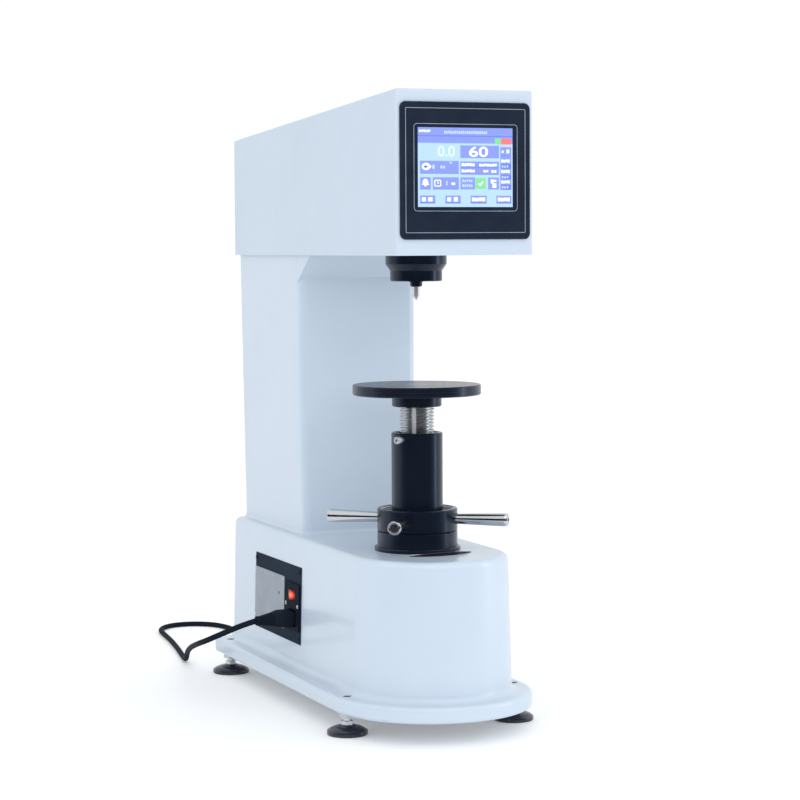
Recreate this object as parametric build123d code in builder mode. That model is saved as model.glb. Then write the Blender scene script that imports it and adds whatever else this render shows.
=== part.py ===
from build123d import *
import math
import os

os.makedirs("parts", exist_ok=True)

# Bench-top hardness tester: elevating-screw stand, lever and dead-weight load
# train in the arm and column, touch display in the head, mains lead at the side.
# Frame: +Z up, front (display side) towards -Y, origin on the bench plane at the
# centre of the footprint.  All dimensions in millimetres.

# ------------------------------------------------------------------ driving dimensions
ya = -135.0                # spindle and elevating-screw axis, along Y

z_fl0, z_fl1 = 25.5, 44.0  # flange underside and top
fl_r = 118.5               # flange nose radius and half width
nose_y = ya - 36.0         # centre of the rounded nose
fl_back = 289.0            # flange back edge
body_r0, z_deck = 95.0, 203.0   # base body half width at the flange, deck height
draft = 1.45               # draft of the base walls, degrees
body_back = ya + 417.5
wall = 13.0

col_w0, col_w1 = 75.5, 78.0         # column half width, bottom and top
col_f0, col_f1 = ya + 184.0, ya + 188.0
col_b0, col_b1 = ya + 413.0, ya + 421.0
z_arm0, z_arm1 = 547.0, 590.0       # arm underside and top
arm_w = 75.0
arm_front = ya - 60.0

cov_w = 82.8               # head cover half width
cov_front, cov_back = ya - 142.0, ya + 422.5
z_cov_front, z_cov_back = 729.7, 696.5
cov_t = 2.5

bez_w, bez_z0, bez_z1, bez_t = 78.2, 564.5, 715.5, 3.0
scr_w, scr_h, scr_zc = 123.8, 95.0, 643.5

z_anvil = 396.6            # anvil face as drawn
anvil_d, anvil_t = 150.0, 12.0
collar_d, collar_h = 58.0, 13.6
screw_d, pitch, thread_h = 40.5, 4.0, 2.4
z_screw_top, z_screw_bot = 370.7, 86.0
key_w, key_depth = 6.0, 3.6
key_angle = 236.6
sleeve_d, z_sleeve_top = 60.0, 340.6
hub_r, z_hub0, z_hub1 = 47.0, 226.0, 252.0
ring_r, lip_r = 47.0, 50.3
bar_angle, z_bar, bar_r_end = 53.3, 240.0, 108.5
z_tip = 494.8

foot_x, foot_yf, foot_yb = 104.7, ya - 40.0, ya + 388.0
pad_r = 23.5

side_y, side_z = ya + 230.6, 120.1  # centre of the side panel
mod_y, mod_z = ya + 172.0, 117.0    # centre of the mains inlet module

fulcrum_y, z_fulcrum = ya - 18.0, 611.0
hang_y = ya + 342.0
cam_y, z_cam, cam_r, cam_e = ya + 250.0, 585.0, 20.0, 10.7

cord_d = 7.0


def cyl_pts(angle_deg, r):
    a = math.radians(angle_deg)
    return r * math.cos(a), r * math.sin(a)


# ------------------------------------------------------------------ frame casting
half = math.tan(math.radians(draft)) * (z_deck - z_fl1)
with BuildPart() as frame_casting:
    with BuildSketch(Plane.XY.offset(z_fl0)) as fl_sk:
        with Locations((0, nose_y)):
            Circle(fl_r)
        with Locations((0, (nose_y + fl_back) / 2)):
            Rectangle(2 * fl_r, fl_back - nose_y)
        fillet(fl_sk.vertices().group_by(Axis.Y)[-1], 15)
    extrude(amount=z_fl1 - z_fl0)
    flange_top = frame_casting.edges().group_by(Axis.Z)[-1]
    fillet(flange_top, 5)
    fillet(frame_casting.edges().group_by(Axis.Z)[0], 4)
    with BuildSketch(Plane.XY.offset(z_fl1)) as body_sk:
        with Locations((0, nose_y)):
            Circle(body_r0)
        with Locations((0, (nose_y + body_back) / 2)):
            Rectangle(2 * body_r0, body_back - nose_y)
        fillet(body_sk.vertices().group_by(Axis.Y)[-1], 15)
    extrude(amount=z_deck - z_fl1, taper=draft)
    fillet(frame_casting.edges().group_by(Axis.Z)[-1], 8)
    foot_edges = frame_casting.edges().filter_by(
        lambda e: abs(e.center().Z - z_fl1) < 0.01
        and abs(e.bounding_box().size.Z) < 0.01
        and e.bounding_box().max.X < body_r0 + 1
        and e.bounding_box().min.X > -body_r0 - 1)
    fillet(foot_edges, 9)
    # column, slightly tapered
    with BuildSketch(Plane.XY.offset(z_deck - 12)):
        with Locations((0, (col_f0 + col_b0) / 2)):
            RectangleRounded(2 * col_w0, col_b0 - col_f0, 10)
    with BuildSketch(Plane.XY.offset(z_arm0)):
        with Locations((0, (col_f1 + col_b1) / 2)):
            RectangleRounded(2 * col_w1, col_b1 - col_f1, 10)
    loft()
    col_root = frame_casting.edges().filter_by(
        lambda e: abs(e.center().Z - z_deck) < 0.01
        and e.bounding_box().size.Z < 0.01
        and e.bounding_box().max.X < col_w0 + 1
        and e.bounding_box().min.X > -col_w0 - 1)
    fillet(col_root, 5)
    # flared corbel under the arm
    with BuildSketch(Plane.YZ.offset(-col_w1 + 0.6)):
        with BuildLine():
            Polyline((col_f1 + 20, 500), (col_f1 - 0.5, 519), (col_f1 - 41, z_arm0),
                     (col_f1 + 20, z_arm0), close=True)
        make_face()
    extrude(amount=2 * col_w1 - 1.2)
    # arm that carries the spindle
    with BuildSketch(Plane.XY.offset(z_arm0)):
        with Locations((0, (arm_front + cov_back - 4) / 2)):
            RectangleRounded(2 * arm_w, cov_back - 4 - arm_front, 6)
    extrude(amount=z_arm1 - z_arm0)
    # hollow base, open below
    with BuildSketch(Plane.XY.offset(z_fl0)) as cav_sk:
        with Locations((0, nose_y)):
            Circle(body_r0 - wall)
        with Locations((0, (nose_y + body_back - wall) / 2)):
            Rectangle(2 * (body_r0 - wall), body_back - wall - nose_y)
        fillet(cav_sk.vertices().group_by(Axis.Y)[-1], 10)
    extrude(amount=z_deck - wall - z_fl0, taper=draft, mode=Mode.SUBTRACT)
    # boss for the guide bush
    with BuildSketch(Plane.XY.offset(118)):
        with Locations((0, ya)):
            Circle(44)
    extrude(amount=z_deck - wall + 2 - 118)
    # column pocket for hanger and weights, open into the arm and to the back
    with BuildSketch(Plane.XY.offset(z_deck + 10)):
        with Locations((0, ya + 302)):
            Rectangle(124, 206)
    extrude(amount=z_arm1 + 5 - z_deck - 10, mode=Mode.SUBTRACT)
    # arm channel for the lever
    with BuildSketch(Plane.XY.offset(z_arm0 + 15)):
        with Locations((0, ya + 120)):
            Rectangle(120, 170)
    extrude(amount=40, mode=Mode.SUBTRACT)
    # doorway in the column back and rebate for the door
    door_tilt = math.degrees(math.atan((col_b1 - col_b0) / (z_arm0 - z_deck + 12)))
    door_y = col_b0 + (372 - z_deck + 12) * math.tan(math.radians(door_tilt))
    door_plane = Plane(origin=(0, door_y, 372), x_dir=(-1, 0, 0),
                       z_dir=(0, math.cos(math.radians(door_tilt)), -math.sin(math.radians(door_tilt))))
    with BuildSketch(door_plane):
        Rectangle(112, 280)
    extrude(amount=-30, mode=Mode.SUBTRACT)
    with BuildSketch(door_plane):
        RectangleRounded(128, 300, 4)
    extrude(amount=-2.6, mode=Mode.SUBTRACT)
    # spindle bore, guide bush bore
    with Locations((0, ya, z_arm0 - 1)):
        Cylinder(14, 60, align=(Align.CENTER, Align.CENTER, Align.MIN), mode=Mode.SUBTRACT)
    with Locations((0, ya, 110)):
        Cylinder(29, 100, align=(Align.CENTER, Align.CENTER, Align.MIN), mode=Mode.SUBTRACT)
    # service opening in the left wall behind the side panel
    with Locations((-85, side_y + 6, side_z)):
        Box(50, 138, 80, mode=Mode.SUBTRACT)
    with Locations((-85, mod_y, mod_z)):
        Box(50, 46, 56, mode=Mode.SUBTRACT)
    # shallow seat for the side panel
    side_x = -(body_r0 - (side_z - z_fl1) * math.tan(math.radians(draft)))
    side_plane = Plane(origin=(side_x, side_y, side_z), x_dir=(0, -1, 0),
                       z_dir=(-math.cos(math.radians(draft)), 0, math.sin(math.radians(draft))))
    with BuildSketch(side_plane):
        Rectangle(171.6, 95)
    extrude(amount=-2.2, mode=Mode.SUBTRACT)
    # foot bores and the recess above each
    with Locations(*[(sx * foot_x, fy, z_fl0 - 1) for sx in (-1, 1) for fy in (foot_yf, foot_yb)]):
        Cylinder(5.05, 30, align=(Align.CENTER, Align.CENTER, Align.MIN), mode=Mode.SUBTRACT)
frame_casting.part.label = "frame_casting"
export_step(frame_casting.part, "parts/frame_casting.step")

# ------------------------------------------------------------------ head cover
slope = (z_cov_front - z_cov_back) / (cov_back - cov_front)
with BuildPart() as head_cover:
    with BuildSketch(Plane.YZ.offset(-cov_w)):
        with BuildLine():
            Polyline((cov_front, z_arm0), (cov_front, z_cov_front), (cov_back, z_cov_back),
                     (cov_back, z_arm0), close=True)
        make_face()
    extrude(amount=2 * cov_w)
    fillet(head_cover.edges().filter_by(
        lambda e: e.center().Z > z_arm0 + 1), 3)
    with BuildSketch(Plane.YZ.offset(-cov_w + cov_t)):
        with BuildLine():
            y0, y1 = cov_front + cov_t, cov_back - cov_t
            Polyline((y0, z_arm0 + cov_t), (y0, z_cov_front - cov_t - slope * cov_t),
                     (y1, z_cov_back - cov_t + slope * cov_t), (y1, z_arm0 + cov_t), close=True)
        make_face()
    extrude(amount=2 * (cov_w - cov_t), mode=Mode.SUBTRACT)
    # opening for the arm in the floor, opening for the display in the front
    with BuildSketch(Plane.XY.offset(z_arm0 - 1)):
        with Locations((0, (arm_front - 0.4 + cov_back - 3.6) / 2)):
            RectangleRounded(2 * arm_w + 0.8, cov_back - 3.6 - arm_front + 0.4, 6)
    extrude(amount=6, mode=Mode.SUBTRACT)
    with Locations((0, cov_front, 640)):
        Box(140, 12, 130, mode=Mode.SUBTRACT)
    # cooling slots in the back
    with Locations((0, cov_back, 640)):
        with GridLocations(9, 0, 9, 1):
            Box(4, 12, 44, mode=Mode.SUBTRACT)
head_cover.part.label = "head_cover"
export_step(head_cover.part, "parts/head_cover.step")

# ------------------------------------------------------------------ display
front_plane = Plane(origin=(0, cov_front, 0), x_dir=(1, 0, 0), z_dir=(0, -1, 0))
with BuildPart() as front_bezel:
    with BuildSketch(front_plane):
        with Locations((0, (bez_z0 + bez_z1) / 2)):
            RectangleRounded(2 * bez_w, bez_z1 - bez_z0, 7)
        with Locations((0, scr_zc)):
            RectangleRounded(scr_w, scr_h, 3, mode=Mode.SUBTRACT)
    extrude(amount=bez_t)
    chamfer(front_bezel.faces().sort_by(Axis.Y)[0].outer_wire().edges(), 0.8)
front_bezel.part.label = "front_bezel"
export_step(front_bezel.part, "parts/front_bezel.step")

with BuildPart() as display_screen:
    with BuildSketch(front_plane):
        with Locations((0, scr_zc)):
            RectangleRounded(scr_w - 0.4, scr_h - 0.4, 2.8)
    extrude(amount=2.2)
display_screen.part.label = "display_screen"
export_step(display_screen.part, "parts/display_screen.step")

with BuildPart() as hmi_housing:
    with BuildSketch(front_plane):
        with Locations((0, 640)):
            RectangleRounded(138, 128, 4)
    extrude(amount=-34)
    with BuildSketch(front_plane.offset(-34)):
        with Locations((0, 640)):
            RectangleRounded(132, 122, 3)
    extrude(amount=30, mode=Mode.SUBTRACT)
hmi_housing.part.label = "hmi_housing"
export_step(hmi_housing.part, "parts/hmi_housing.step")

with BuildPart() as control_board:
    with Locations((0, cov_front + 20, 640)):
        Box(124, 1.6, 112)
    with Locations((-30, cov_front + 24.8, 668), (28, cov_front + 24.8, 668)):
        Box(38, 8, 14)
    with Locations((10, cov_front + 23.3, 630)):
        Box(24, 5, 24)
    with Locations((-40, cov_front + 25.8, 600), (-14, cov_front + 25.8, 600), (12, cov_front + 25.8, 600)):
        Box(20, 10, 10)
control_board.part.label = "control_board"
export_step(control_board.part, "parts/control_board.step")

# ------------------------------------------------------------------ spindle nose
with BuildPart() as nose_ring:
    with BuildSketch(Plane.XZ.offset(-ya)):
        with BuildLine():
            Polyline((9.4, z_arm0), (35.7, z_arm0), (35.7, 536.6), (30.3, 529.0), (30.3, 518.0),
                     (29.3, 516.8), (9.4, 516.8), close=True)
        make_face()
    revolve(axis=Axis((0, ya, 0), (0, 0, 1)))
nose_ring.part.label = "nose_ring"
export_step(nose_ring.part, "parts/nose_ring.step")

with BuildPart() as spindle_bushes:
    for zb in (z_arm0, z_arm1 - 16):
        with BuildSketch(Plane.XY.offset(zb)):
            with Locations((0, ya)):
                Circle(14)
                Circle(9.05, mode=Mode.SUBTRACT)
        extrude(amount=16)
spindle_bushes.part.label = "spindle_bushes"
export_step(spindle_bushes.part, "parts/spindle_bushes.step")

with BuildPart() as spindle:
    with BuildSketch(Plane.XY.offset(517.5)):
        with Locations((0, ya)):
            Circle(9)
    extrude(amount=596.6 - 517.5)
    with BuildSketch(Plane.XY.offset(512.5)):
        with Locations((0, ya)):
            Circle(4.6)
    extrude(amount=6)
    with Locations((0, ya, 512)):
        Cylinder(2.5, 12, align=(Align.CENTER, Align.CENTER, Align.MIN), mode=Mode.SUBTRACT)
spindle.part.label = "spindle"
export_step(spindle.part, "parts/spindle.step")

with BuildPart() as indenter_nut:
    with BuildSketch(Plane.XZ.offset(-ya)):
        with BuildLine():
            Polyline((4.7, 517.2), (8.4, 517.2), (8.4, 516.2), (7.25, 515.6), (7.0, 511.4), (5.6, 510.2),
                     (4.2, 510.2), (4.2, 512.3), (4.7, 512.3), close=True)
        make_face()
    revolve(axis=Axis((0, ya, 0), (0, 0, 1)))
indenter_nut.part.label = "indenter_nut"
export_step(indenter_nut.part, "parts/indenter_nut.step")

with BuildPart() as indenter:
    with BuildSketch(Plane.XZ.offset(-ya)):
        with BuildLine():
            Polyline((0, 522), (2.45, 522), (2.45, 512.2), (4.1, 512.2), (4.1, 499.6), (3.2, 498.3),
                     (2.0, 497.6), (1.6, 495.7), (0, z_tip), close=True)
        make_face()
    revolve(axis=Axis((0, ya, 0), (0, 0, 1)))
indenter.part.label = "indenter"
export_step(indenter.part, "parts/indenter.step")

# preload spring between the two bushes, drawn as its envelope
with BuildPart() as preload_spring:
    with BuildSketch(Plane.XY.offset(z_arm0 + 16.6)):
        with Locations((0, ya)):
            Circle(13.4)
            Circle(10.6, mode=Mode.SUBTRACT)
    extrude(amount=9.4)
preload_spring.part.label = "preload_spring"
export_step(preload_spring.part, "parts/preload_spring.step")

# ------------------------------------------------------------------ lever train
with BuildPart() as fulcrum_bracket:
    with Locations((-16, fulcrum_y - 2, z_arm1 + 17), (16, fulcrum_y - 2, z_arm1 + 17)):
        Box(10, 26, 34)
    with Locations((-24, fulcrum_y - 10, z_arm1 + 3), (24, fulcrum_y - 10, z_arm1 + 3)):
        Box(22, 26, 6)
    with Locations(Location((0, fulcrum_y, z_fulcrum), (0, 90, 0))):
        Cylinder(5, 60, mode=Mode.SUBTRACT)
fulcrum_bracket.part.label = "fulcrum_bracket"
export_step(fulcrum_bracket.part, "parts/fulcrum_bracket.step")

with BuildPart() as fulcrum_pin:
    with Locations(Location((0, fulcrum_y, z_fulcrum), (0, 90, 0))):
        Cylinder(5, 46)
fulcrum_pin.part.label = "fulcrum_pin"
export_step(fulcrum_pin.part, "parts/fulcrum_pin.step")

with BuildPart() as load_lever:
    with BuildSketch(Plane.YZ.offset(-8)):
        with BuildLine():
            Polyline((fulcrum_y - 12, 601), (fulcrum_y - 12, 622), (ya + 20, 628), (hang_y - 60, 624),
                     (hang_y + 11, 619), (hang_y + 11, 603), (hang_y - 60, 598), (ya + 14, 598),
                     (ya + 4, 601), close=True)
        make_face()
    extrude(amount=16)
    with Locations(Location((0, fulcrum_y, z_fulcrum), (0, 90, 0))):
        Cylinder(5.05, 40, mode=Mode.SUBTRACT)
    with Locations(Location((0, hang_y, z_fulcrum), (0, 90, 0))):
        Cylinder(4, 40, mode=Mode.SUBTRACT)
load_lever.part.label = "load_lever"
export_step(load_lever.part, "parts/load_lever.step")

# knife edges: one over the spindle, one as a cross bar for the stirrup
with BuildPart() as knife_edges:
    with BuildSketch(Plane.YZ.offset(-7)):
        with BuildLine():
            Polyline((ya - 4, 601), (ya + 4, 601), (ya, 597.0), close=True)
        make_face()
    extrude(amount=14)
    with Locations(Location((0, hang_y, z_fulcrum), (0, 90, 0))):
        Cylinder(4, 38)
knife_edges.part.label = "knife_edges"
export_step(knife_edges.part, "parts/knife_edges.step")

with BuildPart() as hanger_rod:
    with Locations((-13.5, hang_y, 600), (13.5, hang_y, 600)):
        Box(4.5, 26, 44)
    with Locations((0, hang_y, 574.5)):
        Box(31.5, 26, 7)
    with Locations(Location((0, hang_y, z_fulcrum - 2.4), (0, 90, 0))):
        Cylinder(7, 60, mode=Mode.SUBTRACT)
    with BuildSketch(Plane.XY.offset(232)):
        with Locations((0, hang_y)):
            Circle(5)
    extrude(amount=572 - 232)
    with BuildSketch(Plane.XY.offset(230)):
        with Locations((0, hang_y)):
            Circle(30)
    extrude(amount=6)
hanger_rod.part.label = "hanger_rod"
export_step(hanger_rod.part, "parts/hanger_rod.step")

with BuildPart() as weight_large:
    with BuildSketch(Plane.XY.offset(236)):
        with Locations((0, hang_y)):
            Circle(52)
            Circle(5.4, mode=Mode.SUBTRACT)
    extrude(amount=34)
    chamfer(weight_large.edges().filter_by(GeomType.CIRCLE).group_by(SortBy.RADIUS)[-1], 1.5)
weight_large.part.label = "weight_large"
export_step(weight_large.part, "parts/weight_large.step")

with BuildPart() as weight_medium:
    with BuildSketch(Plane.XY.offset(270.3)):
        with Locations((0, hang_y)):
            Circle(52)
            Circle(5.4, mode=Mode.SUBTRACT)
    extrude(amount=28)
    chamfer(weight_medium.edges().filter_by(GeomType.CIRCLE).group_by(SortBy.RADIUS)[-1], 1.5)
weight_medium.part.label = "weight_medium"
export_step(weight_medium.part, "parts/weight_medium.step")

with BuildPart() as weight_small:
    with BuildSketch(Plane.XY.offset(298.6)):
        with Locations((0, hang_y)):
            Circle(46)
            Circle(5.4, mode=Mode.SUBTRACT)
    extrude(amount=20)
    chamfer(weight_small.edges().filter_by(GeomType.CIRCLE).group_by(SortBy.RADIUS)[-1], 1.5)
weight_small.part.label = "weight_small"
export_step(weight_small.part, "parts/weight_small.step")

# eccentric that lifts the lever, on the motor shaft; it stands at its low point
with BuildPart() as load_cam:
    with Locations(Location((0, cam_y, z_cam - cam_e), (0, 90, 0))):
        Cylinder(cam_r, 12)
    with Locations(Location((22, cam_y, z_cam), (0, 90, 0))):
        Cylinder(4, 44)
load_cam.part.label = "load_cam"
export_step(load_cam.part, "parts/load_cam.step")

with BuildPart() as drive_motor:
    with Locations((37, cam_y, z_cam)):
        Box(46, 48, 48)
    chamfer(drive_motor.edges().filter_by(Axis.X), 4)
    with Locations(Location((30, cam_y, z_cam), (0, 90, 0))):
        Cylinder(4.05, 44, mode=Mode.SUBTRACT)
drive_motor.part.label = "drive_motor"
export_step(drive_motor.part, "parts/drive_motor.step")

with BuildPart() as linear_encoder:
    with Locations((-45, ya + 8, z_arm1 + 30)):
        Box(18, 24, 60)
    with Locations((-45, ya + 8, z_arm1 + 3)):
        Box(36, 40, 6)
linear_encoder.part.label = "linear_encoder"
export_step(linear_encoder.part, "parts/linear_encoder.step")

# ------------------------------------------------------------------ elevating screw group
with BuildPart() as elevating_screw:
    r_o, r_i = screw_d / 2, screw_d / 2 - thread_h
    pts = [(0, z_screw_bot), (r_o - 1.5, z_screw_bot), (r_o, z_screw_bot + 1.5)]
    z = 112.0
    while z + pitch < z_screw_top - 4:
        pts += [(r_o, z), (r_i, z + 0.75), (r_i, z + 2.25), (r_o, z + 3.0)]
        z += pitch
    pts += [(r_o, z_screw_top - 1), (r_o - 1, z_screw_top), (0, z_screw_top)]
    with BuildSketch(Plane.XZ.offset(-ya)):
        with BuildLine():
            Polyline(*pts, close=True)
        make_face()
    revolve(axis=Axis((0, ya, 0), (0, 0, 1)))
    # keyway along the whole thread, socket for the anvil shank
    kx, ky = cyl_pts(key_angle, screw_d / 2)
    with BuildSketch(Plane.XY.offset(z_screw_bot - 1)):
        with Locations(Location((kx, ya + ky), key_angle)):
            Rectangle(2 * key_depth, key_w)
    extrude(amount=z_screw_top - z_screw_bot + 2, mode=Mode.SUBTRACT)
    with Locations((0, ya, z_screw_top + 1)):
        Cylinder(10, 46, align=(Align.CENTER, Align.CENTER, Align.MAX), mode=Mode.SUBTRACT)
elevating_screw.part.label = "elevating_screw"
export_step(elevating_screw.part, "parts/elevating_screw.step")

with BuildPart() as anvil:
    with BuildSketch(Plane.XZ.offset(-ya)):
        prof = [(0, 328), (8.95, 328), (9.95, 329), (9.95, 371.0), (collar_d / 2 - 1, 371.0),
                (collar_d / 2, 372.0), (collar_d / 2, z_anvil - anvil_t), (anvil_d / 2 - 1.2, z_anvil - anvil_t),
                (anvil_d / 2, z_anvil - anvil_t + 1.2), (anvil_d / 2, z_anvil - 1.0), (anvil_d / 2 - 1.0, z_anvil)]
        for rg in (58, 46, 34, 22):
            prof += [(rg + 0.5, z_anvil), (rg, z_anvil - 0.5), (rg - 0.5, z_anvil)]
        prof += [(0, z_anvil)]
        with BuildLine():
            Polyline(*prof, close=True)
        make_face()
    revolve(axis=Axis((0, ya, 0), (0, 0, 1)))
anvil.part.label = "anvil"
export_step(anvil.part, "parts/anvil.step")

with BuildPart() as guide_bush:
    with BuildSketch(Plane.XZ.offset(-ya)):
        with BuildLine():
            Polyline((screw_d / 2 + 0.05, 122), (28.95, 122), (28.95, z_deck), (screw_d / 2 + 0.05, z_deck), close=True)
        make_face()
    revolve(axis=Axis((0, ya, 0), (0, 0, 1)))
    kx, ky = cyl_pts(key_angle, 23)
    with BuildSketch(Plane.XY.offset(121)):
        with Locations(Location((kx, ya + ky), key_angle)):
            Rectangle(7.6, 5.4)
    extrude(amount=90, mode=Mode.SUBTRACT)
guide_bush.part.label = "guide_bush"
export_step(guide_bush.part, "parts/guide_bush.step")

with BuildPart() as guide_key:
    kx, ky = cyl_pts(key_angle, (17.2 + 26.6) / 2)
    with BuildSketch(Plane.XY.offset(124)):
        with Locations(Location((kx, ya + ky), key_angle)):
            Rectangle(26.6 - 17.2, 5.4)
    extrude(amount=60)
guide_key.part.label = "guide_key"
export_step(guide_key.part, "parts/guide_key.step")

with BuildPart() as support_collar:
    with BuildSketch(Plane.XZ.offset(-ya)):
        with BuildLine():
            Polyline((36, z_deck), (lip_r, z_deck), (lip_r, 206.6), (lip_r - 1, 207.6), (ring_r, 208.0),
                     (ring_r, 224.6), (ring_r - 0.9, 225.5), (36, 225.5), close=True)
        make_face()
    revolve(axis=Axis((0, ya, 0), (0, 0, 1)))
support_collar.part.label = "support_collar"
export_step(support_collar.part, "parts/support_collar.step")

with BuildPart() as thrust_race_lower:
    with BuildSketch(Plane.XY.offset(z_deck)):
        with Locations((0, ya)):
            Circle(35.6)
            Circle(22, mode=Mode.SUBTRACT)
    extrude(amount=5)
thrust_race_lower.part.label = "thrust_race_lower"
export_step(thrust_race_lower.part, "parts/thrust_race_lower.step")

with BuildPart() as thrust_balls:
    with BuildSketch(Plane.XY.offset(z_deck + 5)):
        with Locations((0, ya)):
            Circle(33.5)
            Circle(24.5, mode=Mode.SUBTRACT)
    extrude(amount=2)
    with Locations((0, ya, z_deck + 5 + 3.4)):
        with PolarLocations(29, 14):
            Sphere(3.4)
thrust_balls.part.label = "thrust_balls"
export_step(thrust_balls.part, "parts/thrust_balls.step")

with BuildPart() as thrust_race_upper:
    with BuildSketch(Plane.XY.offset(215.2)):
        with Locations((0, ya)):
            Circle(35.4)
            Circle(25.05, mode=Mode.SUBTRACT)
    extrude(amount=5)
thrust_race_upper.part.label = "thrust_race_upper"
export_step(thrust_race_upper.part, "parts/thrust_race_upper.step")

with BuildPart() as handwheel_hub:
    with BuildSketch(Plane.XZ.offset(-ya)):
        with BuildLine():
            Polyline((25.05, 220.2), (35.4, 220.2), (35.4, z_hub0), (hub_r - 0.8, z_hub0), (hub_r, z_hub0 + 0.8),
                     (hub_r, z_hub1 - 1.2), (hub_r - 1.2, z_hub1), (hub_r - 4.6, z_hub1), (hub_r - 5.4, z_hub1 - 0.8),
                     (hub_r - 5.4, z_hub1 - 5.6), (25.05, z_hub1 - 5.6), close=True)
        make_face()
    revolve(axis=Axis((0, ya, 0), (0, 0, 1)))
    for k in range(4):
        a = bar_angle + 90 * k
        bx, by = cyl_pts(a, 41.5)
        with Locations(Plane(origin=(bx, ya + by, z_bar), z_dir=(bx, by, 0)).location):
            Cylinder(5.0, 16, mode=Mode.SUBTRACT)
        bx, by = cyl_pts(a, 49.2)
        with Locations(Plane(origin=(bx, ya + by, z_bar), z_dir=(bx, by, 0)).location):
            Cylinder(6.6, 6, mode=Mode.SUBTRACT)
handwheel_hub.part.label = "handwheel_hub"
export_step(handwheel_hub.part, "parts/handwheel_hub.step")

with BuildPart() as handle_bars:
    for k in range(4):
        a = math.radians(bar_angle + 90 * k)
        pl = Plane(origin=(0, ya, z_bar), x_dir=(math.cos(a), math.sin(a), 0),
                   z_dir=(math.sin(a), -math.cos(a), 0))
        with BuildSketch(pl):
            with BuildLine():
                Polyline((34.5, 0), (34.5, 5.0), (46.2, 5.0), (46.2, 6.0), (105.5, 7.9), (107.6, 7.5),
                         (bar_r_end, 6.6), (bar_r_end, 5.8), (bar_r_end - 0.9, 5.2), (bar_r_end - 0.9, 0), close=True)
            make_face()
        revolve(axis=Axis((0, ya, z_bar), (math.cos(a), math.sin(a), 0)))
handle_bars.part.label = "handle_bars"
export_step(handle_bars.part, "parts/handle_bars.step")

with BuildPart() as elevating_nut:
    with BuildSketch(Plane.XZ.offset(-ya)):
        with BuildLine():
            Polyline((screw_d / 2 + 0.05, 212), (25.0, 212), (25.0, 336.5), (screw_d / 2 + 0.05, 336.5), close=True)
        make_face()
    revolve(axis=Axis((0, ya, 0), (0, 0, 1)))
elevating_nut.part.label = "elevating_nut"
export_step(elevating_nut.part, "parts/elevating_nut.step")

sleeve_scr_a, sleeve_scr_z = 213.0, 333.6
with BuildPart() as dust_sleeve:
    with BuildSketch(Plane.XZ.offset(-ya)):
        with BuildLine():
            Polyline((25.05, z_hub1 - 5.6), (sleeve_d / 2, z_hub1 - 5.6), (sleeve_d / 2, z_sleeve_top - 1.0),
                     (sleeve_d / 2 - 1.0, z_sleeve_top), (25.05, z_sleeve_top), close=True)
        make_face()
    revolve(axis=Axis((0, ya, 0), (0, 0, 1)))
    sx, sy = cyl_pts(sleeve_scr_a, 30)
    with Locations(Plane(origin=(sx, ya + sy, sleeve_scr_z), z_dir=(sx, sy, 0)).location):
        Cylinder(2.5, 14, mode=Mode.SUBTRACT)
dust_sleeve.part.label = "dust_sleeve"
export_step(dust_sleeve.part, "parts/dust_sleeve.step")

with BuildPart() as sleeve_screw:
    a = math.radians(sleeve_scr_a)
    pl = Plane(origin=(0, ya, sleeve_scr_z), x_dir=(math.cos(a), math.sin(a), 0),
               z_dir=(math.sin(a), -math.cos(a), 0))
    with BuildSketch(pl):
        with BuildLine():
            Polyline((25.3, 0), (25.3, 2.45), (36.4, 2.45), (36.4, 4.3), (41.2, 4.3), (42.0, 3.6), (42.0, 2.0),
                     (39.0, 2.0), (39.0, 0), close=True)
        make_face()
    revolve(axis=Axis((0, ya, sleeve_scr_z), (math.cos(a), math.sin(a), 0)))
sleeve_screw.part.label = "sleeve_screw"
export_step(sleeve_screw.part, "parts/sleeve_screw.step")

with BuildPart() as wiper_ring:
    with BuildSketch(Plane.XY.offset(336.5)):
        with Locations((0, ya)):
            Circle(25.0)
            Circle(screw_d / 2 + 0.35, mode=Mode.SUBTRACT)
    extrude(amount=z_sleeve_top - 336.5 - 0.2)
wiper_ring.part.label = "wiper_ring"
export_step(wiper_ring.part, "parts/wiper_ring.step")

# ------------------------------------------------------------------ covers and electrics
with BuildPart() as rear_door:
    with BuildSketch(door_plane):
        RectangleRounded(127.2, 299.2, 3.6)
    extrude(amount=-2.5)
rear_door.part.label = "rear_door"
export_step(rear_door.part, "parts/rear_door.step")

with BuildPart() as door_screws:
    with BuildSketch(door_plane):
        with GridLocations(119, 138, 2, 3):
            Circle(3.6)
    extrude(amount=2.0)
    with BuildSketch(door_plane.offset(2.0)):
        with GridLocations(119, 138, 2, 3):
            RegularPolygon(1.7, 6)
    extrude(amount=-1.2, mode=Mode.SUBTRACT)
door_screws.part.label = "door_screws"
export_step(door_screws.part, "parts/door_screws.step")

with BuildPart() as cover_screws:
    back_plane = Plane(origin=(0, cov_back, 0), x_dir=(-1, 0, 0), z_dir=(0, 1, 0))
    with BuildSketch(back_plane):
        with Locations((0, 620)):
            with GridLocations(146, 128, 2, 2):
                Circle(3.6)
    extrude(amount=2.0)
    with BuildSketch(back_plane.offset(2.0)):
        with Locations((0, 620)):
            with GridLocations(146, 128, 2, 2):
                RegularPolygon(1.7, 6)
    extrude(amount=-1.2, mode=Mode.SUBTRACT)
cover_screws.part.label = "cover_screws"
export_step(cover_screws.part, "parts/cover_screws.step")

with BuildPart() as bottom_plate:
    with BuildSketch(Plane.XY.offset(z_fl0 - 2.5)) as bp_sk:
        with Locations((0, nose_y)):
            Circle(87)
        with Locations((0, (nose_y + body_back - 4) / 2)):
            Rectangle(2 * 87, body_back - 4 - nose_y)
    extrude(amount=2.5)
bottom_plate.part.label = "bottom_plate"
export_step(bottom_plate.part, "parts/bottom_plate.step")

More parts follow.
